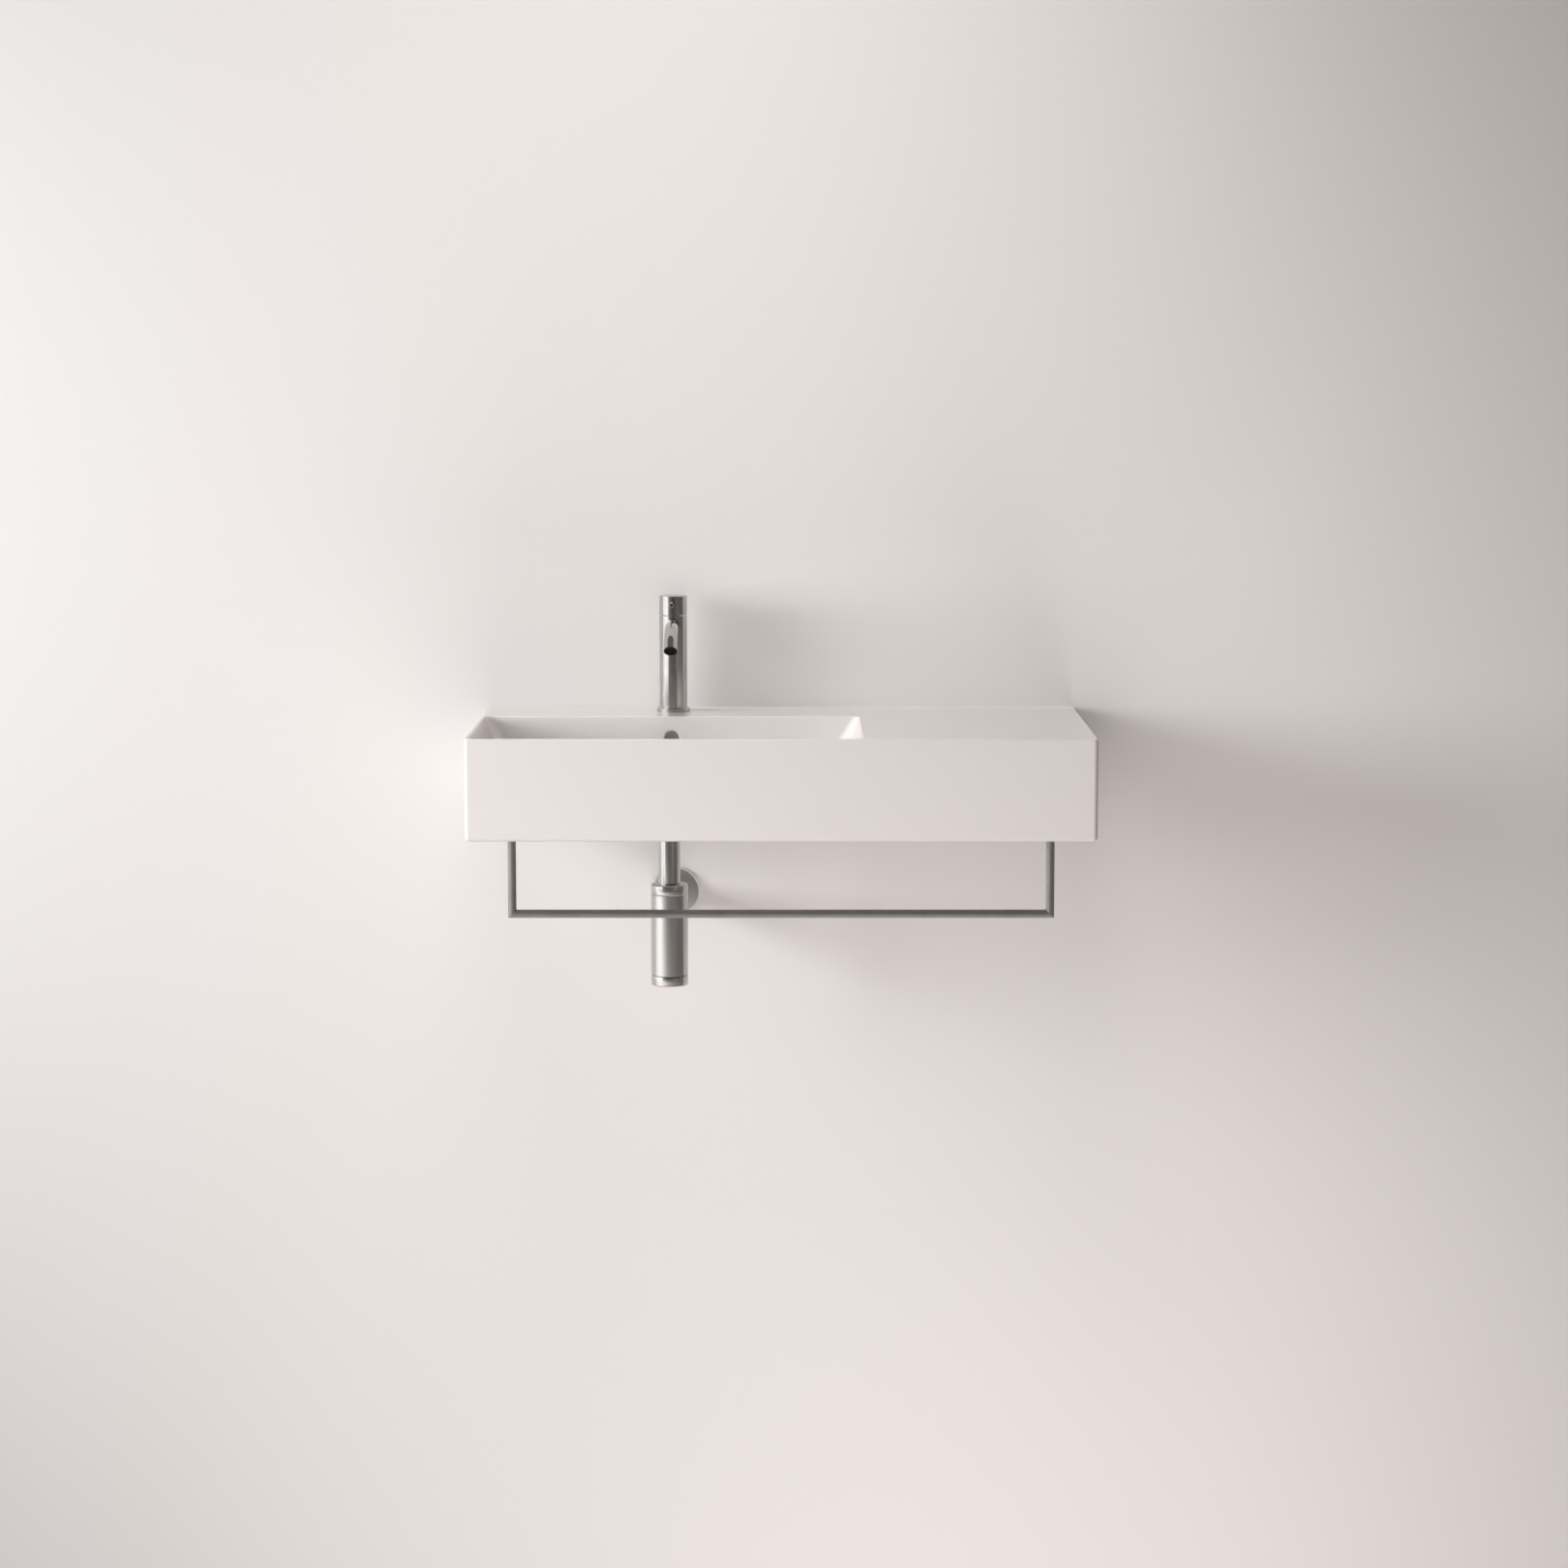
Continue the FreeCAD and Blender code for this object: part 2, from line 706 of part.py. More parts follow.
def aerator_screen():
    """Perforated insert that straightens the jet."""
    end, aim = spout_path(0)[1:]
    top = aerator_flange - aerator_recess
    solid = rod(aerator_radius - aerator_rim - 2 * fit, top - aerator_screen_thickness, top)
    holes = [rod(aerator_hole_diameter / 2, top - aerator_screen_thickness - overrun, top + overrun)]
    for count in range(1, aerator_rings + 1):
        for step in range(6 * count):
            turn = math.radians(360 * step / (6 * count))
            reach = count * aerator_pitch
            holes.append(moved(holes[0], reach * math.cos(turn), reach * math.sin(turn)))
    return tap_at(aimed(solid.cut(holes), aim, *end))


def cartridge_body():
    """Ceramic-disc cartridge with the socket that its turret turns in."""
    solid = rod(cartridge_radius, cartridge_z, cartridge_top_z)
    return tap_at(solid.cut(rod(turret_radius + clearance, turret_z - clearance, tap_height)))


def cartridge_nut():
    """Ring nut that holds the cartridge in the tap body."""
    inner = turret_radius + 2 * clearance
    return tap_at(ring(nut_radius, inner, cartridge_top_z, cartridge_top_z + nut_height))


def cartridge_turret():
    """Turning part of the cartridge, slotted for the tilt of the stem."""
    tilt = math.radians(lever_lift)
    high_z = pivot_z + turret_rise
    slot_x = stem_half + clearance
    slot_y = stem_half / math.cos(tilt) + turret_rise * math.tan(tilt) + clearance
    slot = block(-slot_x, slot_x, -slot_y, slot_y, turret_z + turret_floor, high_z + overrun)
    pin = aimed(rod(pivot_diameter / 2 + fit / 2, -tap_radius, tap_radius), (1, 0, 0), z=pivot_z)
    return tap_at(rod(turret_radius, turret_z, high_z).cut([slot, pin]))


def pivot_pin():
    """Pin that the stem tilts on, held in the turret."""
    reach = turret_radius - clearance
    return tap_at(aimed(rod(pivot_diameter / 2, -reach, reach), (1, 0, 0), z=pivot_z))


def cartridge_stem():
    """Square stem that carries the handle."""
    top_z = cap_z + cap_hollow + stem_socket
    solid = block(-stem_half, stem_half, -stem_half, stem_half, pivot_z - stem_tail, top_z)
    eye = aimed(rod(pivot_diameter / 2 + running_fit, -stem_width, stem_width), (1, 0, 0), z=pivot_z)
    return tap_at(solid.cut(eye))


def handle_cap():
    """Round cap of the handle, its rear underside relieved for the tilt."""
    solid = rod(tap_radius, cap_z, tap_height)
    solid = round_rims(solid, cap_edge_radius, (tap_radius, tap_height))
    hollow = rod(tap_radius - cap_wall, cap_z - overrun, cap_z + cap_hollow)
    half = stem_half + fit
    socket = block(-half, half, -half, half, cap_z, cap_z + cap_hollow + stem_socket + fit)
    rise = tap_diameter * math.tan(math.radians(lever_lift))
    corners = [Vector(0, 0, cap_z), Vector(0, tap_diameter, cap_z + rise), Vector(0, tap_diameter, cap_z)]
    wedge = Part.Face(Part.makePolygon(corners + corners[:1])).extrude(Vector(2 * tap_diameter, 0, 0))
    lever_hole = aimed(rod(lever_spigot_diameter / 2 + fit, half, tap_diameter), (0, -1, 0))
    grub_hole = aimed(rod(grub_diameter / 2 + fit, 0, tap_diameter), (0, 1, 0))
    cuts = [
        hollow,
        socket,
        moved(wedge, x=-tap_diameter),
        moved(lever_hole, z=tap_height - lever_drop),
        moved(grub_hole, z=tap_height - grub_drop),
    ]
    return tap_at(solid.cut(cuts))


def lever_pin():
    """Slim lever, screwed into the front of the cap by its spigot."""
    radius = lever_diameter / 2
    stick = round_rims(rod(radius, 0, lever_reach), lever_edge_radius, (radius, lever_reach))
    spigot = rod(lever_spigot_diameter / 2, stem_half + 2 * fit, tap_diameter)
    stick = aimed(stick, (0, -1, 0), z=tap_height - lever_drop).cut(rod(tap_radius, 0, 2 * tap_height))
    spigot = aimed(spigot, (0, -1, 0), z=tap_height - lever_drop)
    return tap_at(stick.fuse(spigot).removeSplitter())


def grub_screw():
    """Screw behind the cap that clamps it to the stem."""
    end = math.sqrt(tap_radius ** 2 - (grub_diameter / 2) ** 2) - grub_setback
    solid = rod(grub_diameter / 2, stem_half, end)
    solid = solid.cut(hexagon(grub_diameter / 2, end - grub_diameter / 2, end + overrun))
    return tap_at(aimed(solid, (0, 1, 0), z=tap_height - grub_drop))


# Tap fixing under the ledge

clamp_top = -slab_thickness
clamp_plate_top = clamp_top - clamp_seal_thickness
clamp_nut_top = clamp_plate_top - clamp_plate_thickness


def mounting_stud():
    """Threaded stud from the tap body down through the ledge."""
    end = clamp_nut_top - clamp_nut_height - stud_tail
    return tap_at(moved(rod(stud_diameter / 2, end, stud_in_body - spigot_length), y=-stud_offset))


def clamp_blank(z0, z1):
    """Horseshoe: a disc with a slot for the stud and a notch for the supply tails."""
    solid = rod(clamp_diameter / 2, z0, z1)
    hole = moved(rod(stud_diameter / 2 + fit, z0 - overrun, z1 + overrun), y=-stud_offset)
    reach = inlet_spacing / 2 + clamp_slot_width / 2
    front = inlet_offset - clamp_slot_width / 2
    notch = block(-reach, reach, front, clamp_diameter, z0 - overrun, z1 + overrun)
    return tap_at(solid.cut([hole, notch]))


def clamp_seal():
    """Rubber horseshoe against the underside of the ledge."""
    return clamp_blank(clamp_plate_top, clamp_top)


def clamp_plate():
    """Steel horseshoe under the rubber one."""
    return clamp_blank(clamp_nut_top, clamp_plate_top)


def clamp_nut():
    """Long nut on the mounting stud."""
    nut = hex_nut(clamp_nut_flats, stud_diameter / 2 + fit, clamp_nut_top - clamp_nut_height, clamp_nut_top)
    return tap_at(moved(nut, y=-stud_offset))


# Waste and its plug

spider_z = flange_top_z - spider_drop
click_radius = click_diameter / 2
click_top_z = spider_z + spider_height + click_collar
plug_z = flange_top_z + clearance
plug_stem_length = plug_lift + plug_guide
plug_radius = flange_radius - plug_edge
plug_seal_radius = waste_radius - waste_wall + plug_seal_inset / 2


def waste_body():
    """Flanged tube through the ceramic with overflow slots and a spider for the plug."""
    bore = waste_radius - waste_wall
    tube = turned(
        (bore, waste_end_z),
        (waste_radius, waste_end_z),
        (waste_radius, flange_z),
        (flange_radius, flange_z),
        (flange_radius, flange_top_z),
        (bore, flange_top_z),
    )
    tube = round_rims(tube, flange_thickness / 3, (flange_radius, flange_top_z))
    hub = ring(click_radius + fit + spider_hub_wall, click_radius + fit, spider_z, spider_z + spider_height)
    solid = tube.fuse(hub)
    reach = waste_radius - waste_wall / 2
    start = click_radius + fit + spider_hub_wall / 2
    arm = block(start, reach, -spider_arm / 2, spider_arm / 2, spider_z, spider_z + spider_height)
    for count in range(spider_arm_count):
        solid = solid.fuse(arm.rotated(Vector(0, 0, 0), Vector(0, 0, 1), 90 + count * 360 / spider_arm_count))
    half = overflow_slot_width / 2
    slot_z = boss_z + duct_wall
    slot = block(bore - overrun, waste_radius + overrun, -half, half, slot_z, slot_z + overflow_slot_height)
    for count in range(overflow_slot_count):
        turn = 30 + count * 360 / overflow_slot_count
        solid = solid.cut(slot.rotated(Vector(0, 0, 0), Vector(0, 0, 1), turn))
    return drain_at(solid.removeSplitter())


def waste_top_seal():
    """Flat seal between the waste flange and the ceramic."""
    return drain_at(ring(flange_radius - fit, drain_radius, recess_z, flange_z))


def waste_bottom_seal():
    """Rubber ring under the ceramic, tapered on the outside."""
    inner = waste_radius + fit
    outer = inner + bottom_seal_width
    taper = bottom_seal_thickness / 2
    seal = turned(
        (inner, lock_seal_z), (outer, lock_seal_z), (outer, lock_seal_z + taper),
        (outer - taper, boss_z), (inner, boss_z),
    )
    return drain_at(seal)


def waste_lock_nut():
    """Nut that clamps the waste in the ceramic."""
    return drain_at(hex_nut(lock_nut_flats, waste_radius + fit, lock_nut_z, lock_seal_z))


def click_cartridge():
    """Push-open catch that the plug stem slides in, seated on the spider."""
    inner = plug_stem_diameter / 2 + running_fit
    seat = spider_z + spider_height
    solid = turned(
        (0, click_top_z - click_length),
        (click_radius, click_top_z - click_length),
        (click_radius, seat),
        (click_radius + spider_hub_wall, seat),
        (click_radius + spider_hub_wall, click_top_z),
        (0, click_top_z),
    )
    floor = plug_z - plug_stem_length - clearance
    return drain_at(solid.cut(rod(inner, floor, click_top_z + overrun)))


def plug_cap():
    """Low-crowned plug over the waste flange, grooved for its seal."""
    edge_z = plug_z + plug_thickness
    crown_radius = (plug_radius ** 2 + plug_crown ** 2) / (2 * plug_crown)
    crown = Part.makeSphere(crown_radius, Vector(0, 0, edge_z + plug_crown - crown_radius))
    solid = rod(plug_radius, plug_z, edge_z + plug_crown).common(crown)
    section = plug_seal_section / 2
    groove = Part.makeTorus(plug_seal_radius, section + fit, Vector(0, 0, plug_z + section - clearance / 2))
    socket = rod(plug_stem_diameter / 2 + fit, plug_z - overrun, plug_z + plug_thickness)
    return drain_at(solid.cut([groove, socket]))


def plug_seal():
    """Seal ring in the groove of the plug."""
    section = plug_seal_section / 2
    return drain_at(Part.makeTorus(plug_seal_radius, section, Vector(0, 0, plug_z + section - clearance / 2)))


def plug_stem():
    """Stem of the plug, sliding in the catch."""
    return drain_at(rod(plug_stem_diameter / 2, plug_z - plug_stem_length, plug_z + plug_thickness))


# Bottle trap


def union_seal():
    """Flat washer between the waste and the tailpipe."""
    outer = pipe_radius + pipe_flange
    return drain_at(ring(outer, pipe_radius - pipe_wall, waste_end_z - union_seal_thickness, waste_end_z))


def union_nut():
    """Nut that holds the tailpipe to the waste."""
    top_z = union_z + union_height
    nut = turned(
        (pipe_radius + fit, union_z),
        (union_radius, union_z),
        (union_radius, top_z),
        (waste_radius + fit, top_z),
        (waste_radius + fit, pipe_flange_z),
        (pipe_radius + fit, pipe_flange_z),
    )
    return drain_at(round_rims(nut, union_lip / 3, (union_radius, union_z), (union_radius, top_z)))


def tailpipe():
    """Pipe from the waste down into the trap, flanged at the top."""
    end = cup_z + cup_floor + dip_gap
    flange = pipe_radius + pipe_flange
    inner = pipe_radius - pipe_wall
    top_z = pipe_flange_z + pipe_flange_thickness
    pipe = turned(
        (inner, end), (pipe_radius, end), (pipe_radius, pipe_flange_z),
        (flange, pipe_flange_z), (flange, top_z), (inner, top_z),
    )
    return drain_at(pipe)


def trap_collar():
    """Ring nut on the neck of the trap, round the tailpipe."""
    inner = neck_radius + fit
    lid_z = trap_top_z - collar_lid
    collar = turned(
        (inner, collar_z),
        (trap_radius - seam_chamfer, collar_z),
        (trap_radius, collar_z + seam_chamfer),
        (trap_radius, trap_top_z - collar_chamfer),
        (trap_radius - collar_chamfer, trap_top_z),
        (pipe_radius + clearance, trap_top_z),
        (pipe_radius + clearance, lid_z),
        (inner, lid_z),
    )
    return drain_at(collar)


def collar_seal():
    """Sealing ring round the tailpipe, on the neck of the trap."""
    return drain_at(ring(neck_radius, pipe_radius + fit, neck_z, trap_top_z - collar_lid))


def trap_body():
    """Bottle of the trap with its neck and its threaded outlet to the wall."""
    inner = trap_radius - trap_wall
    neck_bore = neck_radius - neck_wall
    shell = turned(
        (inner, body_z),
        (trap_radius - seam_chamfer, body_z),
        (trap_radius, body_z + seam_chamfer),
        (trap_radius, collar_z - seam_chamfer),
        (trap_radius - seam_chamfer, collar_z),
        (neck_radius, collar_z),
        (neck_radius, neck_z),
        (neck_bore, neck_z),
        (neck_bore, collar_z - trap_top),
        (inner, collar_z - trap_top),
    )
    boss = aimed(rod(outlet_boss_radius, 0, trap_radius + outlet_boss_length), (0, 1, 0), z=outlet_z)
    boss = boss.cut(rod(inner + trap_wall / 2, body_z, collar_z))
    hole = aimed(rod(pipe_radius + clearance, 0, trap_diameter + outlet_boss_length), (0, 1, 0), z=outlet_z)
    return drain_at(shell.fuse(boss).cut(hole).removeSplitter())


def trap_cup():
    """Cup that closes the bottle and unscrews for cleaning."""
    top_z = cup_z + cup_height
    thread = trap_radius - trap_wall - fit
    inner = thread - cup_thread_wall
    solid = turned(
        (0, cup_z),
        (trap_radius, cup_z),
        (trap_radius, top_z - seam_chamfer),
        (trap_radius - seam_chamfer, top_z),
        (thread, top_z),
        (thread, top_z + cup_thread),
        (inner, top_z + cup_thread),
        (inner, cup_z + cup_floor),
        (0, cup_z + cup_floor),
    )
    return drain_at(round_rims(solid, cup_edge_radius, (trap_radius, cup_z)))


def cup_seal():
    """Flat seal between bottle and cup, set in from the outside."""
    top_z = cup_z + cup_height
    outer = trap_radius - 2 * seam_chamfer
    return drain_at(ring(outer, trap_radius - trap_wall, top_z, top_z + cup_seal_thickness))


def outlet_piece(solid):
    """Copy of a solid drawn about the outlet axis, its Z measured from the wall plane."""
    return aimed(solid, (0, 1, 0), bowl_x, 0, outlet_z)


def outlet_arm():
    """Pipe from the trap into the wall, with a rolled mark where it passes the wall plane."""
    start = drain_y + trap_radius
    arm = ring(pipe_radius, pipe_radius - pipe_wall, start, outlet_in_wall)
    mark = ring(pipe_diameter, pipe_radius - outlet_mark_depth, 0, outlet_mark_width)
    return outlet_piece(arm.cut(mark))


def outlet_seal():
    """Sealing ring at the mouth of the outlet."""
    return outlet_piece(
        ring(outlet_boss_radius, pipe_radius + fit, outlet_face_y, outlet_face_y + outlet_seal_thickness)
    )


def outlet_nut():
    """Nut that squeezes the outlet seal onto the arm."""
    outer = outlet_boss_radius + fit + outlet_nut_wall
    lid = outlet_face_y + outlet_seal_thickness
    nut = turned(
        (outlet_boss_radius + fit, outlet_face_y - outlet_nut_grip),
        (outer, outlet_face_y - outlet_nut_grip),
        (outer, lid + outlet_nut_lip),
        (pipe_radius + fit, lid + outlet_nut_lip),
        (pipe_radius + fit, lid),
        (outlet_boss_radius + fit, lid),
    )
    rims = ((outer, outlet_face_y - outlet_nut_grip), (outer, lid + outlet_nut_lip))
    return outlet_piece(round_rims(nut, outlet_nut_lip / 3, *rims))


def wall_rosette():
    """Pressed rosette over the hole in the wall, a shallow cone with a rounded edge."""
    radius = rosette_diameter / 2
    face = rosette_rim + rosette_edge_radius
    solid = turned(
        (0, 0), (radius, 0), (radius, -face), (pipe_radius, -face - rosette_cone), (0, -face - rosette_cone)
    )
    solid = round_rims(solid, rosette_edge_radius, (radius, -face))
    inside = turned(
        (0, overrun),
        (radius - rosette_wall, overrun),
        (radius - rosette_wall, -face + rosette_wall),
        (pipe_radius, -face - rosette_cone + rosette_wall),
        (0, -face - rosette_cone + rosette_wall),
    )
    inner_rim = (radius - rosette_wall, -face + rosette_wall)
    inside = round_rims(inside, rosette_edge_radius - rosette_wall, inner_rim)
    bore = rod(pipe_radius + clearance, -face - rosette_cone - overrun, overrun)
    return outlet_piece(solid.cut([inside, bore]))


# Towel rail

rail_radius = rail_diameter / 2
rail_top_z = base_z - rail_seat_thickness
rail_bar_z = base_z - rail_drop
rail_nut_z = base_z + rail_pad_height + rail_washer_thickness


def rail_fixings(solid):
    """Two copies of a solid drawn about the axis of a leg, at its true height."""
    return moved(pair(solid, rail_span), y=rail_y)


def towel_rail():
    """Round bar with mitred corners and a leg up to each front corner of the basin."""
    half = rail_span / 2
    corners = ((-half, rail_top_z), (-half, rail_bar_z), (half, rail_bar_z), (half, rail_top_z))
    path = Part.makePolygon([Vector(x, rail_y, z) for x, z in corners])
    circle = Part.makeCircle(rail_radius, Vector(-half, rail_y, rail_top_z), Vector(0, 0, -1))
    bar = path.makePipeShell([Part.Wire(circle)], True, False, 1)
    hole = rod(rail_stud_diameter / 2 + fit, rail_top_z - rail_stud_in_leg, rail_top_z + overrun)
    return bar.cut(rail_fixings(hole))


def rail_seats():
    """Soft washers between the legs and the ceramic."""
    outer = rail_radius + rail_seat_width
    return rail_fixings(ring(outer, rail_stud_diameter / 2 + fit, rail_top_z, base_z))


def rail_studs():
    """Threaded studs from the legs up through the ceramic."""
    end = rail_nut_z + rail_nut_height + rail_stud_tail
    return rail_fixings(rod(rail_stud_diameter / 2, rail_top_z - rail_stud_in_leg, end))


def rail_washers():
    """Washers on top of the ceramic webs."""
    seat = base_z + rail_pad_height
    return rail_fixings(ring(rail_washer_diameter / 2, rail_stud_diameter / 2 + fit, seat, rail_nut_z))


def rail_nuts():
    """Nuts that hold the towel rail."""
    nut = hex_nut(rail_nut_flats, rail_stud_diameter / 2 + fit, rail_nut_z, rail_nut_z + rail_nut_height)
    return rail_fixings(nut)


pieces = (
    ceramic_basin, wall_bolts, wall_bushes, wall_washers, wall_nuts,
    tap_base_ring, tap_base_seal, tap_body, inlet_tails, spout_tube, aerator_housing, aerator_screen,
    cartridge_body, cartridge_nut, cartridge_turret, pivot_pin, cartridge_stem,
    handle_cap, lever_pin, grub_screw,
    mounting_stud, clamp_seal, clamp_plate, clamp_nut,
    waste_body, waste_top_seal, waste_bottom_seal, waste_lock_nut,
    click_cartridge, plug_cap, plug_seal, plug_stem,
    union_seal, union_nut, tailpipe,
    trap_collar, collar_seal, trap_body, trap_cup, cup_seal,
    outlet_arm, outlet_seal, outlet_nut, wall_rosette,
    towel_rail, rail_seats, rail_studs, rail_washers, rail_nuts,
)

os.makedirs("parts", exist_ok=True)
for piece in pieces:
    shape = piece()
    shape.exportStep("parts/" + piece.__name__ + ".step")
    print(piece.__name__, len(shape.Solids), shape.isValid(), round(shape.Volume))
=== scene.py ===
import logging
import math
from dataclasses import dataclass, field
from enum import Enum
from functools import cache
from typing import Optional, Sequence

import bmesh
import bpy
from mathutils import Matrix, Vector


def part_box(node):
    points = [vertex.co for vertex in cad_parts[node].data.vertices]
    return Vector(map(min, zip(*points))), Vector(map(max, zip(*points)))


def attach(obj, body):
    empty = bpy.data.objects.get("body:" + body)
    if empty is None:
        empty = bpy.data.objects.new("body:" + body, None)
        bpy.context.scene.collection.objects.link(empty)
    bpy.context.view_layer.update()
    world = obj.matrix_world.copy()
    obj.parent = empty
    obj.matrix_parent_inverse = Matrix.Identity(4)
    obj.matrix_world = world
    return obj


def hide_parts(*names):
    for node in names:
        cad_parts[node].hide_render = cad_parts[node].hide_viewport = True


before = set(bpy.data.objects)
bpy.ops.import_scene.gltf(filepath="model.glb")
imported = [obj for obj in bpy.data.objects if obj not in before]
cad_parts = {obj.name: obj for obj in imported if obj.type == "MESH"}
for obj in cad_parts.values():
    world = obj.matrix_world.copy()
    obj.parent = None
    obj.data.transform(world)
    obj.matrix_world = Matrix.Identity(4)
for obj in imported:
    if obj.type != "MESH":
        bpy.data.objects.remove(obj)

log = logging.getLogger("basin")
TURNING_AXIS = (0.011, 0.017, 1.0)
QUARTER_TURN = 0.25
WELD = 1e-6
CUT = 1e-7
SHARP_ANGLE = 32.0

Colour = tuple[float, float, float]
Corner = tuple[float, float]
Point = tuple[float, float, float]
Inputs = dict[object, object]
Material = bpy.types.Material
Mesh = bmesh.types.BMesh
Outputs = bpy.types.NodeOutputs
Socket = bpy.types.NodeSocket
Thing = bpy.types.Object
Tree = bpy.types.NodeTree


def linked(name: str, data: bpy.types.ID) -> Thing:
    """Puts an object into the scene.

    Args:
        name: name of the object.
        data: its mesh, lamp or camera.

    Returns:
        The object.
    """
    thing = bpy.data.objects.new(name, data)
    bpy.context.scene.collection.objects.link(thing)
    return thing


class Body(str, Enum):
    """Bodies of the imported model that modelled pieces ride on."""

    BASIN = "basin"


class Slot(str, Enum):
    """Names of the record's material slots for the modelled pieces' finishes."""

    SATIN = "chrome_satin"
    ZINC = "zinc_steel"


class Grain(Enum):
    """Which way the lines of a worked metal run, as their stretch along each axis."""

    ROUND_Z = (90.0, 90.0, 5200.0)
    ROUND_Y = (90.0, 5200.0, 90.0)
    ALONG_X = (45.0, 5200.0, 5200.0)
    ALONG_Z = (5200.0, 5200.0, 45.0)
    SCRATCHED = (260.0, 260.0, 2600.0)


class NodeBench:
    """Adds and links the nodes of one material, group or world."""

    def __init__(self, tree: Tree) -> None:
        """Takes hold of a node tree."""
        self.tree = tree

    @classmethod
    def cleared(cls, owner: bpy.types.ID) -> "NodeBench":
        """Takes hold of the nodes of a material or a world, and empties them.

        Args:
            owner: the material or world.

        Returns:
            A bench on its nodes.
        """
        owner.use_nodes = True
        owner.node_tree.nodes.clear()
        return cls(owner.node_tree)

    def add(self, kind: str, inputs: Optional[Inputs] = None, **settings: object) -> bpy.types.Node:
        """Adds a node, sets its properties and then feeds its inputs.

        Args:
            kind: Blender's name for the type of node.
            inputs: a number, colour, vector or socket for each input, by its name or place.
            settings: properties of the node by name.

        Returns:
            The new node.
        """
        node = self.tree.nodes.new(kind)
        for name, value in settings.items():
            setattr(node, name, value)
        for key, value in (inputs or {}).items():
            socket = node.inputs[key]
            if isinstance(value, Socket):
                self.tree.links.new(value, socket)
            elif socket.type == "RGBA":
                socket.default_value = (*value, 1.0)
            else:
                socket.default_value = value
        return node

    def show(self, surface: Socket) -> None:
        """Makes a shader the surface of the material."""
        self.add("ShaderNodeOutputMaterial", {"Surface": surface})

    def math(self, operation: str, *values: object) -> Socket:
        """Works with numbers or sockets and gives the result."""
        return self.add("ShaderNodeMath", dict(enumerate(values)), operation=operation).outputs[0]

    def remap(self, value: Socket, source: Corner = (0.0, 1.0), target: Sequence[object] = (0.0, 1.0),
              smooth: bool = False) -> Socket:
        """Moves a value from one range to another.

        Args:
            value: the value.
            source: the range that it is in.
            target: the range that it goes to.
            smooth: true for soft ends.

        Returns:
            The moved value.
        """
        ends = {"From Min": source[0], "From Max": source[1], "To Min": target[0], "To Max": target[1]}
        way = "SMOOTHSTEP" if smooth else "LINEAR"
        node = self.add("ShaderNodeMapRange", {"Value": value, **ends}, interpolation_type=way)
        return node.outputs["Result"]

    def blend(self, mask: Socket, first: object, second: object, kind: str = "RGBA") -> Socket:
        """Mixes two colours, vectors or values by a mask.

        Args:
            mask: 0 for the first, 1 for the second.
            first: what shows where the mask is 0.
            second: what shows where the mask is 1.
            kind: Blender's name for what is mixed.

        Returns:
            The mix.
        """
        node = self.add("ShaderNodeMix", {"Factor": mask, "A": first, "B": second}, data_type=kind)
        return node.outputs["Result"]

    def noise(self, vector: Socket, scale: object, detail: float, roughness: float = 0.5,
              distortion: float = 0.0) -> Socket:
        """Makes a cloudy pattern.

        Args:
            vector: coordinates that it reads.
            scale: how fine it is, a number or a socket.
            detail: how many finer layers it has.
            roughness: how strong the finer layers are.
            distortion: how far it is warped.

        Returns:
            The pattern.
        """
        inputs = {"Vector": vector, "Scale": scale, "Detail": detail, "Roughness": roughness}
        return self.add("ShaderNodeTexNoise", {**inputs, "Distortion": distortion}).outputs["Fac"]

    def place(self, scale: Point = (1.0, 1.0, 1.0), move: Point = (0.0, 0.0, 0.0)) -> Socket:
        """Reads Object coordinates, moved and then scaled.

        Args:
            scale: stretch of the pattern along each axis.
            move: shift in metres before the stretch.

        Returns:
            The coordinates.
        """
        spot = self.add("ShaderNodeTexCoord").outputs["Object"]
        moved = self.add("ShaderNodeVectorMath", {0: spot, 1: move}, operation="ADD").outputs[0]
        return self.add("ShaderNodeVectorMath", {0: moved, 1: scale}, operation="MULTIPLY").outputs[0]

    def axes(self, vector: Socket) -> Outputs:
        """Splits a vector into X, Y and Z."""
        return self.add("ShaderNodeSeparateXYZ", {0: vector}).outputs

    def effect(self, tree: Tree, vector: Socket, **numbers: float) -> Outputs:
        """Places a shared effect.

        Args:
            tree: the effect.
            vector: coordinates that it reads.
            numbers: its inputs by name, with _ for a space.

        Returns:
            Its outputs.
        """
        inputs = {label.replace("_", " ").title(): number for label, number in numbers.items()}
        return self.add("ShaderNodeGroup", {"Vector": vector, **inputs}, node_tree=tree).outputs

    def bump(self, height: Socket, depth: float, strength: float) -> Socket:
        """Makes a relief.

        Args:
            height: mask from 0 to 1.
            depth: height of the relief in metres.
            strength: share of the effect.

        Returns:
            The bumped normal.
        """
        inputs = {"Height": height, "Distance": depth, "Strength": strength}
        return self.add("ShaderNodeBump", inputs).outputs["Normal"]

    def drawn_out(self, amount: float, way: object, turned: bool) -> Inputs:
        """Draws reflections out across the lines that working left in a metal.

        Args:
            amount: strength from 0 to 1.
            way: the axis of the lines.
            turned: true for lines round the axis, false for lines along it.

        Returns:
            The shader's inputs for it.
        """
        normal = self.add("ShaderNodeNewGeometry").outputs["Normal"]
        across = self.add("ShaderNodeVectorMath", {0: way, 1: normal}, operation="CROSS_PRODUCT").outputs[0]
        rotation = QUARTER_TURN if turned else 0.0
        return {"Tangent": across, "Anisotropic": amount, "Anisotropic Rotation": rotation}


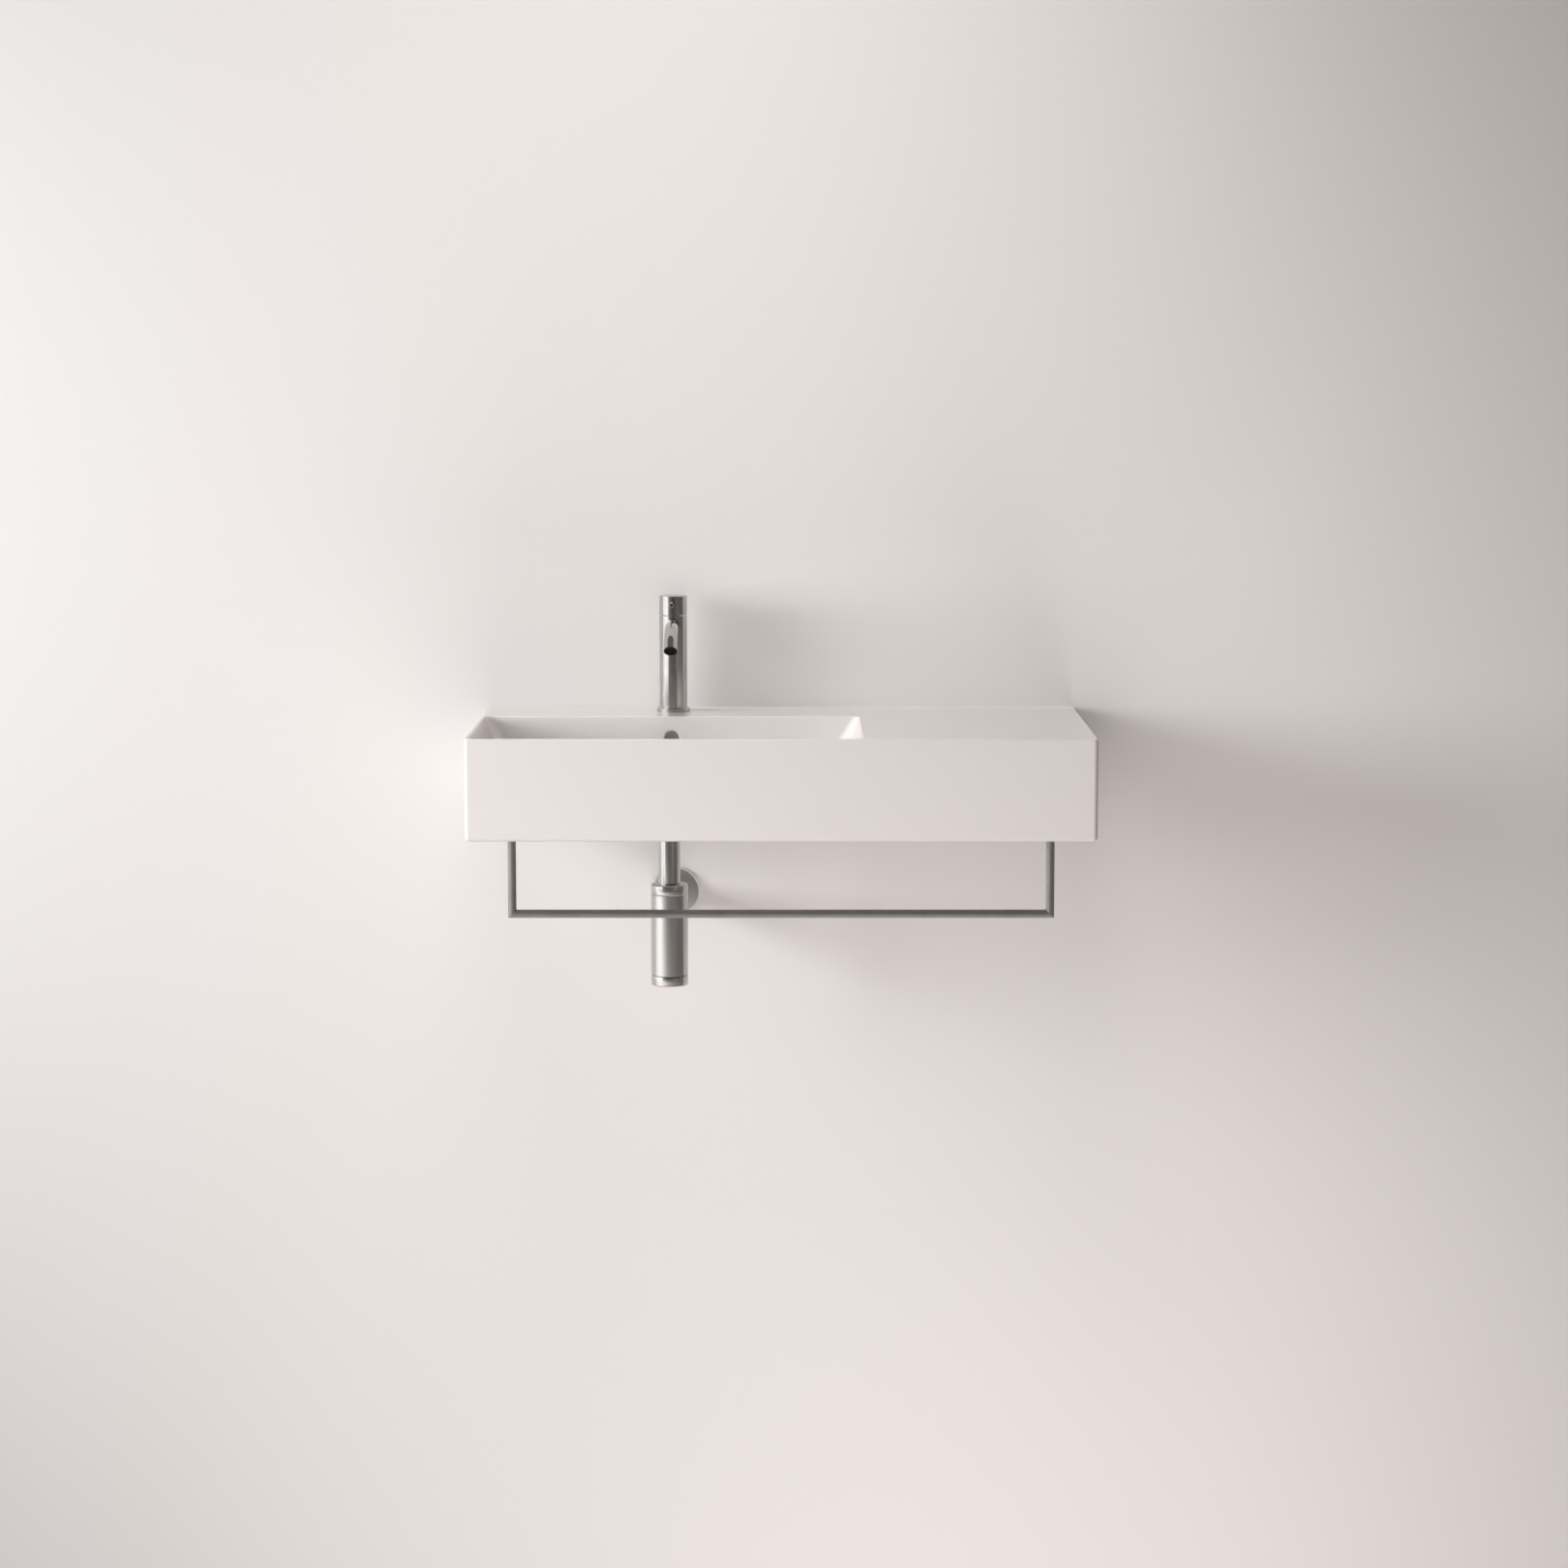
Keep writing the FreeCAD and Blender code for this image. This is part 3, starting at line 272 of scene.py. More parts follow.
class Effects:
    """Shader node groups that several finishes share, each built once."""

    @staticmethod
    def _start(name: str, numbers: Sequence[str], masks: Sequence[str]) -> tuple[NodeBench, Outputs]:
        """Starts a group that reads a vector and some numbers.

        Args:
            name: name of the group.
            numbers: names of the numbers that a material gives it.
            masks: names of its outputs.

        Returns:
            A bench on the group, and what the group is given.
        """
        tree = bpy.data.node_groups.new(name, "ShaderNodeTree")
        tree.interface.new_socket("Vector", in_out="INPUT", socket_type="NodeSocketVector")
        for way, labels in (("INPUT", numbers), ("OUTPUT", masks)):
            for label in labels:
                tree.interface.new_socket(label, in_out=way, socket_type="NodeSocketFloat")
        bench = NodeBench(tree)
        return bench, bench.add("NodeGroupInput").outputs

    @staticmethod
    @cache
    def mottle() -> Tree:
        """Makes soft cloudy patches with fine specks in them.

        Returns:
            The group.
        """
        numbers = ("Patch Scale", "Speck Scale", "Speck Share")
        bench, given = Effects._start("cloudy mottle", numbers, ("Patches", "Specks"))
        patches = bench.noise(given["Vector"], given["Patch Scale"], detail=3.0, roughness=0.55)
        grains = bench.noise(given["Vector"], given["Speck Scale"], detail=1.0)
        specks = bench.remap(grains, source=(0.62, 0.80), target=(0.0, given["Speck Share"]))
        bench.add("NodeGroupOutput", {"Patches": patches, "Specks": specks})
        return bench.tree

    @staticmethod
    @cache
    def hairlines() -> Tree:
        """Makes fine parallel lines from a vector that is stretched so that they run along one way.

        Returns:
            The group.
        """
        bench, given = Effects._start("fine hairlines", (), ("Lines", "Bands"))
        lines = bench.noise(given["Vector"], 1.0, detail=4.0, roughness=0.7)
        bands = bench.noise(given["Vector"], 0.17, detail=2.0)
        bench.add("NodeGroupOutput", {"Lines": lines, "Bands": bands})
        return bench.tree

    @staticmethod
    @cache
    def marks() -> Tree:
        """Makes faint wiped smears and dried drops, as on bathroom metal.

        Returns:
            The group.
        """
        bench, given = Effects._start("wiped smears", ("Smear Scale", "Drop Scale"), ("Smears", "Drops"))
        cloud = bench.noise(given["Vector"], given["Smear Scale"], detail=5.0, roughness=0.6, distortion=0.8)
        smears = bench.remap(cloud, source=(0.42, 0.72), smooth=True)
        cells = bench.add("ShaderNodeTexVoronoi", {"Vector": given["Vector"], "Scale": given["Drop Scale"]})
        rounds = bench.remap(cells.outputs["Distance"], source=(0.26, 0.10), smooth=True)
        drops = bench.math("MULTIPLY", rounds, smears)
        bench.add("NodeGroupOutput", {"Smears": smears, "Drops": drops})
        return bench.tree


@dataclass(frozen=True)
class Finish:
    """What every finish has: a name, a colour and a surface."""

    name: str
    colour: Colour

    def material(self) -> Material:
        """Makes the material with a Principled shader.

        Returns:
            The material.
        """
        material = bpy.data.materials.new(self.name)
        bench = NodeBench.cleared(material)
        shader = bench.add("ShaderNodeBsdfPrincipled", self._surface(bench))
        bench.show(shader.outputs["BSDF"])
        material.diffuse_color = (*self.colour, 1.0)
        return material

    def _surface(self, bench: NodeBench) -> Inputs:
        """Gives the shader's inputs by name."""
        raise NotImplementedError


@dataclass(frozen=True)
class GlazedCeramic(Finish):
    """White fired glaze with faint specks and a soft orange peel, and bare clay on the wall side."""

    cloud: Colour = (0.868, 0.855, 0.842)
    cloud_share: float = 0.5
    roughness: Corner = (0.30, 0.38)
    refraction: float = 1.48
    bare: Colour = (0.80, 0.765, 0.71)
    bare_y: float = -0.0008
    bare_waver: float = 0.0009
    bare_roughness: float = 0.45
    coat_weight: float = 0.6
    coat_roughness: float = 0.16
    peel_scale: float = 330.0
    peel_depth: float = 0.00002
    peel_strength: float = 0.5

    def _surface(self, bench: NodeBench) -> Inputs:
        """Gives the shader's inputs.

        Args:
            bench: bench on the material's nodes.

        Returns:
            A number or socket for each input by name.
        """
        spot = bench.place()
        mottle = bench.effect(Effects.mottle(), spot, patch_scale=3.0, speck_scale=1100.0, speck_share=0.5)
        patches = mottle["Patches"]
        tone = bench.math("MULTIPLY_ADD", patches, self.cloud_share, mottle["Specks"])
        waver = bench.math("SUBTRACT", patches, 0.5)
        edge = bench.math("MULTIPLY_ADD", waver, self.bare_waver, bench.axes(spot)["Y"])
        clay = bench.math("GREATER_THAN", edge, self.bare_y)
        rough = bench.remap(patches, target=self.roughness)
        peel = bench.noise(spot, self.peel_scale, detail=1.0)
        return {
            "Base Color": bench.blend(clay, bench.blend(tone, self.colour, self.cloud), self.bare),
            "Roughness": bench.math("MULTIPLY_ADD", clay, self.bare_roughness, rough),
            "IOR": self.refraction,
            "Coat Weight": bench.remap(clay, target=(self.coat_weight, 0.0)),
            "Coat Roughness": self.coat_roughness,
            "Normal": bench.bump(peel, self.peel_depth, self.peel_strength),
        }


@dataclass(frozen=True)
class PolishedChrome(Finish):
    """Bright plating over turned metal, with faint smears, drops and hairline scratches."""

    worn: Colour = (0.46, 0.45, 0.445)
    worn_share: float = 0.55
    roughness: Corner = (0.13, 0.17)
    drop_roughness: float = 0.05
    scratch_depth: float = 0.0000025
    scratch_strength: float = 0.5
    smear: float = 0.95

    def _surface(self, bench: NodeBench) -> Inputs:
        """Gives the shader's inputs.

        Args:
            bench: bench on the material's nodes.

        Returns:
            A number or socket for each input by name.
        """
        marks = bench.effect(Effects.marks(), bench.place(), smear_scale=34.0, drop_scale=210.0)
        wear = bench.math("MULTIPLY", marks["Smears"], self.worn_share)
        rough = bench.remap(marks["Smears"], target=self.roughness)
        scratches = bench.effect(Effects.hairlines(), bench.place(Grain.SCRATCHED.value))["Lines"]
        return {
            "Base Color": bench.blend(wear, self.colour, self.worn),
            "Roughness": bench.math("MULTIPLY_ADD", marks["Drops"], self.drop_roughness, rough),
            "Metallic": 1.0,
            "Normal": bench.bump(scratches, self.scratch_depth, self.scratch_strength),
            **bench.drawn_out(self.smear, TURNING_AXIS, True),
        }


@dataclass(frozen=True)
class WorkedMetal(Finish):
    """Satin metal with the lines that turning or brushing left, and a little dirt in them."""

    shade: Colour
    grain: Grain
    roughness: Corner
    line_depth: float = 0.000006
    line_strength: float = 0.7
    line_share: float = 0.5
    mark_share: float = 0.25
    mark_roughness: float = 0.04

    def _surface(self, bench: NodeBench) -> Inputs:
        """Gives the shader's inputs.

        Args:
            bench: bench on the material's nodes.

        Returns:
            A number or socket for each input by name.
        """
        lines, bands = self._lines(bench)
        smears = bench.effect(Effects.marks(), bench.place(), smear_scale=22.0, drop_scale=160.0)["Smears"]
        tone = bench.math("MULTIPLY", bench.math("ADD", lines, bands), self.line_share)
        tone = bench.math("MULTIPLY_ADD", smears, self.mark_share, tone)
        rough = bench.remap(lines, target=self.roughness)
        return {
            "Base Color": bench.blend(tone, self.colour, self.shade),
            "Roughness": bench.math("MULTIPLY_ADD", smears, self.mark_roughness, rough),
            "Metallic": 1.0,
            "Normal": bench.bump(lines, self.line_depth, self.line_strength),
            **self._drawn(bench),
        }

    def _lines(self, bench: NodeBench) -> tuple[Socket, Socket]:
        """Gives the fine lines and the broad bands of the metal."""
        group = bench.effect(Effects.hairlines(), bench.place(self.grain.value))
        return group["Lines"], group["Bands"]

    def _drawn(self, bench: NodeBench) -> Inputs:
        """Leaves reflections as they are: only a finish with strong lines draws them out."""
        return {}


@dataclass(frozen=True)
class MitredBar(WorkedMetal):
    """Brushed bar whose lines follow the bar and its legs and turn at the mitres."""

    leg_x: float = 0.386
    bar_z: float = -0.182
    smear: float = 0.5

    def _on_leg(self, bench: NodeBench) -> Socket:
        """Tells the legs from the bar.

        Args:
            bench: bench on the material's nodes.

        Returns:
            1 above the mitre planes, on the legs, and 0 on the bar.
        """
        spot = bench.axes(bench.place())
        inward = bench.math("SUBTRACT", self.leg_x, bench.math("ABSOLUTE", spot["X"]))
        upward = bench.math("SUBTRACT", spot["Z"], self.bar_z)
        return bench.math("GREATER_THAN", upward, inward)

    def _lines(self, bench: NodeBench) -> tuple[Socket, Socket]:
        """Makes lines along the bar, and lines along the legs above the mitre planes.

        Args:
            bench: bench on the material's nodes.

        Returns:
            The fine lines and the broad bands.
        """
        on_leg = self._on_leg(bench)
        bar = bench.effect(Effects.hairlines(), bench.place(self.grain.value))
        leg = bench.effect(Effects.hairlines(), bench.place(Grain.ALONG_Z.value))
        lines, bands = (bench.blend(on_leg, bar[label], leg[label], "FLOAT") for label in ("Lines", "Bands"))
        return lines, bands

    def _drawn(self, bench: NodeBench) -> Inputs:
        """Draws reflections out across the brushing of the bar and of the legs."""
        way = bench.blend(self._on_leg(bench), (1.0, 0.0, 0.0), (0.0, 0.0, 1.0), "VECTOR")
        return bench.drawn_out(self.smear, way, False)


@dataclass(frozen=True)
class DullSolid(Finish):
    """Moulded plastic or rubber: a matt skin with a fine texture and slight clouding."""

    cloud: Colour
    roughness: Corner = (0.42, 0.58)
    grain_scale: float = 1400.0
    grain_depth: float = 0.00003
    grain_strength: float = 0.4
    cloud_share: float = 0.6
    gloss: float = 0.5

    def _surface(self, bench: NodeBench) -> Inputs:
        """Gives the shader's inputs.

        Args:
            bench: bench on the material's nodes.

        Returns:
            A number or socket for each input by name.
        """
        scales = {"patch_scale": 40.0, "speck_scale": self.grain_scale, "speck_share": 0.4}
        mottle = bench.effect(Effects.mottle(), bench.place(), **scales)
        tone = bench.math("MULTIPLY_ADD", mottle["Patches"], self.cloud_share, mottle["Specks"])
        return {
            "Base Color": bench.blend(tone, self.colour, self.cloud),
            "Roughness": bench.remap(mottle["Patches"], target=self.roughness),
            "Specular IOR Level": self.gloss,
            "Normal": bench.bump(mottle["Specks"], self.grain_depth, self.grain_strength),
        }


@dataclass
class Wardrobe:
    """Every finish of the basin, made once and given to the pieces by name."""

    glaze: Finish = GlazedCeramic("white glaze", (0.885, 0.875, 0.865))
    polished: Finish = PolishedChrome("polished chrome", (0.53, 0.52, 0.515))
    polished_tube: Finish = PolishedChrome(
        "polished chrome tube", (0.53, 0.52, 0.515), roughness=(0.05, 0.09), scratch_depth=0.000002, smear=0.0
    )
    satin: Finish = WorkedMetal(
        "turned satin chrome", (0.60, 0.59, 0.58), (0.54, 0.53, 0.52), Grain.ROUND_Z, (0.15, 0.20), 0.000002
    )
    satin_pipe: Finish = WorkedMetal(
        "drawn chrome pipe", (0.58, 0.57, 0.56), (0.50, 0.49, 0.48), Grain.ALONG_Z, (0.09, 0.15), 0.000003
    )
    satin_outlet: Finish = WorkedMetal(
        "turned satin chrome outlet", (0.64, 0.63, 0.62), (0.56, 0.55, 0.54), Grain.ROUND_Y, (0.34, 0.42)
    )
    rail: Finish = MitredBar(
        "brushed rail steel", (0.47, 0.455, 0.445), (0.35, 0.34, 0.33), Grain.ALONG_X, (0.50, 0.58), 0.00001
    )
    zinc: Finish = WorkedMetal(
        "zinc plated steel", (0.66, 0.66, 0.65), (0.50, 0.50, 0.48), Grain.ROUND_Z, (0.30, 0.42)
    )
    brass: Finish = WorkedMetal(
        "machined brass", (0.72, 0.57, 0.32), (0.58, 0.44, 0.22), Grain.ROUND_Z, (0.24, 0.34)
    )
    white_plastic: Finish = DullSolid("white moulded plastic", (0.86, 0.86, 0.84), (0.78, 0.78, 0.75))
    black_plastic: Finish = DullSolid(
        "black moulded plastic", (0.004, 0.004, 0.004), (0.010, 0.010, 0.010), gloss=0.15
    )
    rubber: Finish = DullSolid(
        "black rubber", (0.022, 0.022, 0.022), (0.05, 0.05, 0.048), (0.62, 0.8), 900.0, 0.00006
    )
    made: dict[str, Material] = field(default_factory=dict)

    def get(self, label: str) -> Material:
        """Gives a finish's material, and makes it the first time.

        Args:
            label: name of the field that holds the finish.

        Returns:
            The material.
        """
        if label not in self.made:
            self.made[label] = getattr(self, label).material()
        return self.made[label]


@dataclass(frozen=True)
class Thread:
    """A screw thread: its crest radius, pitch and depth in metres, and where its crest lies in the pitch."""

    radius: float
    pitch: float
    depth: float
    crest: Corner = (0.42, 0.58)
    steps: int = 20
    spare_turns: int = 3
    weld_share: float = 0.02

    def rod(self, low: float, high: float) -> Mesh:
        """Winds a threaded rod about Z and closes it with flat ends.

        Args:
            low: height of the lower end.
            high: height of the upper end.

        Returns:
            The rod.
        """
        mesh = bmesh.new()
        root = self.radius - self.depth
        ridge = ((root, 0.0), (self.radius, self.crest[0]), (self.radius, self.crest[1]), (root, 1.0))
        start = low - (self.spare_turns - 1) * self.pitch
        points = [mesh.verts.new((reach, 0.0, start + share * self.pitch)) for reach, share in ridge]
        edges = [mesh.edges.new(pair) for pair in zip(points, points[1:])]
        turns = math.ceil((high - low) / self.pitch) + self.spare_turns
        bmesh.ops.spin(mesh, geom=points + edges, cent=(0, 0, 0), axis=(0, 0, 1),
                       dvec=(0, 0, self.pitch / self.steps), angle=turns * math.tau,
                       steps=turns * self.steps, use_merge=False)
        bmesh.ops.remove_doubles(mesh, verts=mesh.verts[:], dist=self.weld_share * self.pitch)
        for level, way in ((low, -1.0), (high, 1.0)):
            everything = mesh.verts[:] + mesh.edges[:] + mesh.faces[:]
            bmesh.ops.bisect_plane(mesh, geom=everything, dist=CUT, plane_co=(0, 0, level),
                                   plane_no=(0, 0, way), clear_outer=True)
        bmesh.ops.holes_fill(mesh, edges=[edge for edge in mesh.edges if edge.is_boundary], sides=0)
        return mesh


class Lathe:
    """Turns small pieces about Z and sets them in their places."""

    upright = 0.01
    outer_share = 0.99
    rim_share = 0.6

    @staticmethod
    def turned(profile: Sequence[Corner], steps: int) -> Mesh:
        """Spins a closed profile all the way round.

        Args:
            profile: radius and height of each corner.
            steps: flats in the full turn.

        Returns:
            The turned piece.
        """
        mesh = bmesh.new()
        points = [mesh.verts.new((radius, 0.0, height)) for radius, height in profile]
        edges = [mesh.edges.new(pair) for pair in zip(points, points[1:] + points[:1])]
        bmesh.ops.spin(mesh, geom=points + edges, cent=(0, 0, 0), axis=(0, 0, 1), dvec=(0, 0, 0),
                       angle=math.tau, steps=steps, use_merge=True)
        return mesh

    @classmethod
    def fluted(cls, mesh: Mesh, reach: float, count: int, depth: float) -> None:
        """Sinks grip flutes into every other flat of a piece's outer wall.

        Args:
            mesh: a piece turned in twice as many steps as it gets flutes.
            reach: radius of its outer wall.
            count: number of flutes.
            depth: how far they sink in.
        """
        mesh.normal_update()
        wall = []
        for face in mesh.faces:
            middle = face.calc_center_median()
            on_wall = abs(face.normal.z) < cls.upright and middle.xy.length > cls.outer_share * reach
            turn = math.atan2(middle.y, middle.x) / math.tau
            if on_wall and math.floor(turn * 2 * count) % 2 == 0:
                wall.append(face)
        bmesh.ops.recalc_face_normals(mesh, faces=mesh.faces[:])
        bmesh.ops.inset_individual(mesh, faces=wall, thickness=cls.rim_share * depth, depth=-depth)

    @staticmethod
    def placed(meshes: Sequence[Mesh], places: Sequence[Matrix]) -> Mesh:
        """Sets a copy of each mesh in each place.

        Args:
            meshes: the meshes, which are freed.
            places: where the copies go.

        Returns:
            One mesh of all the copies.
        """
        whole = bmesh.new()
        for mesh in meshes:
            for place in places:
                data = bpy.data.meshes.new("copy")
                mesh.to_mesh(data)
                data.transform(place)
                whole.from_mesh(data)
                bpy.data.meshes.remove(data)
            mesh.free()
        return whole


@dataclass
class SubAssembly:
    """A group of pieces that are fitted together."""

    wardrobe: Wardrobe

    def fit(self, mesh: Mesh, label: str, slot: Slot, node: str, body: Body = Body.BASIN) -> None:
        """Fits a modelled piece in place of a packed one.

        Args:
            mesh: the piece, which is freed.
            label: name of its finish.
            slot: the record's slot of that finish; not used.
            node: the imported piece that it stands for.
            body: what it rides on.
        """
        bmesh.ops.remove_doubles(mesh, verts=mesh.verts[:], dist=WELD)
        bmesh.ops.recalc_face_normals(mesh, faces=mesh.faces[:])
        data = bpy.data.meshes.new(node + "_cut")
        mesh.to_mesh(data)
        mesh.free()
        data.shade_smooth()
        data.set_sharp_from_angle(angle=math.radians(SHARP_ANGLE))
        data.materials.append(self.wardrobe.get(label))
        piece = linked(data.name, data)
        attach(piece, body.value)
        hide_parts(node)
        log.info("%s: modelled with %d faces", piece.name, len(data.polygons))

    def dress(self, label: str, *nodes: str) -> None:
        """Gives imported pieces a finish.

        Args:
            label: name of the finish.
            nodes: names of the pieces.
        """
        for node in nodes:
            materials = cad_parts[node].data.materials
            if not materials:
                materials.append(None)
            for index in range(len(materials)):
                materials[index] = self.wardrobe.get(label)
            log.info("%s: dressed in %s", node, label)

    def build(self) -> None:
        """Builds and dresses the pieces."""
        raise NotImplementedError


@dataclass
class CeramicBody(SubAssembly):
    """The glazed body with its bowl, ledge and shelf."""

    def build(self) -> None:
        """Dresses the ceramic."""
        self.dress("glaze", "ceramic_basin")


@dataclass
class MixerTap(SubAssembly):
    """Tap body, spout, handle and the fixings under the ledge."""

    stud: Thread = Thread(0.004, 0.00125, 0.0007)

    def build(self) -> None:
        """Threads the stud and dresses the tap's pieces."""
        low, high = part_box("mounting_stud")
        rod = self.stud.rod(low.z, high.z)
        spot = Matrix.Translation(((low.x + high.x) / 2, (low.y + high.y) / 2, 0.0))
        self.fit(Lathe.placed([rod], [spot]), "zinc", Slot.ZINC, "mounting_stud")
        self.dress("polished", "tap_base_ring", "tap_body", "handle_cap")
        self.dress("polished_tube", "spout_tube", "lever_pin")
        self.dress("black_plastic", "aerator_housing", "aerator_screen")
        self.dress("white_plastic", "cartridge_body", "cartridge_turret")
        self.dress("brass", "cartridge_nut", "clamp_nut", "cartridge_stem", "inlet_tails")
        self.dress("zinc", "grub_screw", "pivot_pin", "clamp_plate")
        self.dress("rubber", "tap_base_seal", "clamp_seal")


@dataclass
class WasteFitting(SubAssembly):
    """Waste, its push-open plug and the seal under it."""

    def build(self) -> None:
        """Dresses the waste's pieces."""
        self.dress("polished_tube", "waste_body", "plug_cap")
        self.dress("brass", "waste_lock_nut")
        self.dress("white_plastic", "click_cartridge")
        self.dress("zinc", "plug_stem")
        self.dress("rubber", "waste_top_seal", "waste_bottom_seal", "plug_seal", "union_seal")


@dataclass
class BottleTrap(SubAssembly):
    """Tailpipe, trap and the outlet to the wall."""

    pipe_bore: float = 0.0161
    union_bore: float = 0.02085
    outlet_bore: float = 0.0206
    lip: float = 0.0022
    edge: float = 0.001
    flutes: int = 36
    flute_depth: float = 0.0007
    steps: int = 96
    crown: float = 0.00033
    crown_steps: int = 8
    seam: float = 0.0006
    collar_bore: float = 0.02335
    collar_lid: float = 0.003
    collar_bevel: float = 0.0014
    cup_height: float = 0.0144
    cup_thread: float = 0.0245
    cup_bore: float = 0.0221
    cup_floor: float = 0.004
    cup_round: float = 0.0016
    cup_round_steps: int = 4

    def build(self) -> None:
        """Cuts the two grip nuts, turns the collar and the cup, and dresses the trap's pieces."""
        self._grip_nut("union_nut", self.union_bore, 2, "satin")
        self._grip_nut("outlet_nut", self.outlet_bore, 1, "satin_outlet")
        self._collar()
        self._cup()
        self.dress("satin_pipe", "tailpipe")
        self.dress("satin", "trap_body")
        self.dress("satin_outlet", "outlet_arm", "wall_rosette")
        self.dress("rubber", "collar_seal", "cup_seal", "outlet_seal")

    def _wall(self, reach: float, low: float, high: float) -> list[Corner]:
        """Draws a turned wall that bulges a little between its ends.

        Args:
            reach: largest radius of the wall.
            low: height of its lower end.
            high: height of its upper end.

        Returns:
            Radius and height of each point.
        """
        points = []
        for step in range(self.crown_steps + 1):
            share = step / self.crown_steps
            sunk = self.crown * (1.0 - 2.0 * share) ** 2
            points.append((reach - sunk, low + share * (high - low)))
        return points

    def _collar(self) -> None:
        """Turns the ring nut on the trap's neck."""
        low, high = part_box("trap_collar")
        reach = (high.x - low.x) / 2
        length = high.z - low.z
        profile = (
            (self.collar_bore, 0.0), (reach - self.seam, 0.0),
            *self._wall(reach, self.seam, length - self.collar_bevel),
            (reach - self.collar_bevel, length), (self.pipe_bore, length),
            (self.pipe_bore, length - self.collar_lid), (self.collar_bore, length - self.collar_lid),
        )
        self._set(Lathe.turned(profile, self.steps), "trap_collar", "satin")

    def _cup(self) -> None:
        """Turns the cup that closes the trap."""
        low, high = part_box("trap_cup")
        reach = (high.x - low.x) / 2
        length = high.z - low.z
        foot = reach - self.crown - self.cup_round
        edge = []
        for step in range(self.cup_round_steps):
            turn = math.radians(90.0) * step / self.cup_round_steps
            edge.append((foot + self.cup_round * math.sin(turn), self.cup_round * (1.0 - math.cos(turn))))
        profile = (
            (0.0, 0.0), *edge, *self._wall(reach, self.cup_round, self.cup_height - self.seam),
            (reach - self.seam, self.cup_height), (self.cup_thread, self.cup_height),
            (self.cup_thread, length), (self.cup_bore, length),
            (self.cup_bore, self.cup_floor), (0.0, self.cup_floor),
        )
        self._set(Lathe.turned(profile, self.steps), "trap_cup", "satin")

    def _grip_nut(self, node: str, bore: float, axis: int, label: str) -> None:
        """Turns a ring nut with a lip at one end and flutes round its wall.

        Args:
            node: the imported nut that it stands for.
            bore: radius of the wide bore.
            axis: index of the nut's axis, 2 for Z and 1 for Y.
            label: name of the finish.
        """
        low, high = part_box(node)
        reach = (high.x - low.x) / 2
        length = high[axis] - low[axis]
        profile = (
            (self.pipe_bore, 0.0), (reach - self.edge, 0.0), (reach, self.edge), (reach, length - self.edge),
            (reach - self.edge, length), (bore, length), (bore, self.lip), (self.pipe_bore, self.lip),
        )
        nut = Lathe.turned(profile, 2 * self.flutes)
        Lathe.fluted(nut, reach, self.flutes, self.flute_depth)
        self._set(nut, node, label, axis)

    def _set(self, piece: Mesh, node: str, label: str, axis: int = 2) -> None:
        """Sets a turned piece in place of a packed one.

        Args:
            piece: the piece, turned about Z from its foot at the origin.
            node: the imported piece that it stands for.
            label: name of the finish.
            axis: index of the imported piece's axis, 2 for Z and 1 for Y.
        """
        low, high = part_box(node)
        spot = (low + high) / 2
        spot[axis] = low.z if axis == 2 else high.y
        turn = Matrix() if axis == 2 else Matrix.Rotation(math.radians(90.0), 4, "X")
        self.fit(Lathe.placed([piece], [Matrix.Translation(spot) @ turn]), label, Slot.SATIN, node)


@dataclass
class TowelRail(SubAssembly):
    """The bar under the front edge and its screws."""

    stud: Thread = Thread(0.003, 0.001, 0.00055)

    def build(self) -> None:
        """Threads the two studs and dresses the rail's pieces."""
        low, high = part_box("rail_studs")
        middle = (low.y + high.y) / 2
        rod = self.stud.rod(low.z, high.z)
        spots = (low.x + self.stud.radius, high.x - self.stud.radius)
        pair = Lathe.placed([rod], [Matrix.Translation((x, middle, 0.0)) for x in spots])
        self.fit(pair, "zinc", Slot.ZINC, "rail_studs")
        self.dress("rail", "towel_rail")
        self.dress("rubber", "rail_seats")
        self.dress("zinc", "rail_washers", "rail_nuts")


@dataclass
class WallFixings(SubAssembly):
    """Bolts, bushes, washers and nuts that hold the body to the wall."""

    wall_end: Thread = Thread(0.005, 0.0042, 0.0013)
    nut_end: Thread = Thread(0.0048, 0.0015, 0.0009)
    shank: float = 0.006
    shank_lap: float = 1.2
    shank_cut: float = 0.0004
    shank_steps: int = 32
    tip: float = 0.010
    tip_blunt: float = 0.12

    def build(self) -> None:
        """Cuts the two bolts and dresses the fixings."""
        self.fit(self._bolts(), "zinc", Slot.ZINC, "wall_bolts")
        self.dress("zinc", "wall_washers", "wall_nuts")
        self.dress("white_plastic", "wall_bushes")

    def _bolts(self) -> Mesh:
        """Makes both bolts: a pointed coarse thread, a plain shank and a fine thread for the nut.

        Returns:
            The two bolts.
        """
        low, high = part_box("wall_bolts")
        length = high.y - low.y
        wall_plane = -low.y
        coarse = self.wall_end.rod(wall_plane + self.shank, length)
        for point in coarse.verts:
            if point.co.z > length - self.tip:
                share = (length - point.co.z) / self.tip
                point.co.xy *= self.tip_blunt + (1.0 - self.tip_blunt) * share
        fine = self.nut_end.rod(0.0, wall_plane - self.shank)
        plain = self.nut_end.radius - self.shank_cut
        foot, top = wall_plane - self.shank_lap * self.shank, wall_plane + self.shank_lap * self.shank
        shank = Lathe.turned(((0.0, foot), (plain, foot), (plain, top), (0.0, top)), self.shank_steps)
        turn = Matrix.Rotation(math.radians(-90.0), 4, "X")
        middle = (low.z + high.z) / 2
        spots = (low.x + self.wall_end.radius, high.x - self.wall_end.radius)
        places = [Matrix.Translation((x, low.y, middle)) @ turn for x in spots]
        return Lathe.placed((coarse, fine, shank), places)


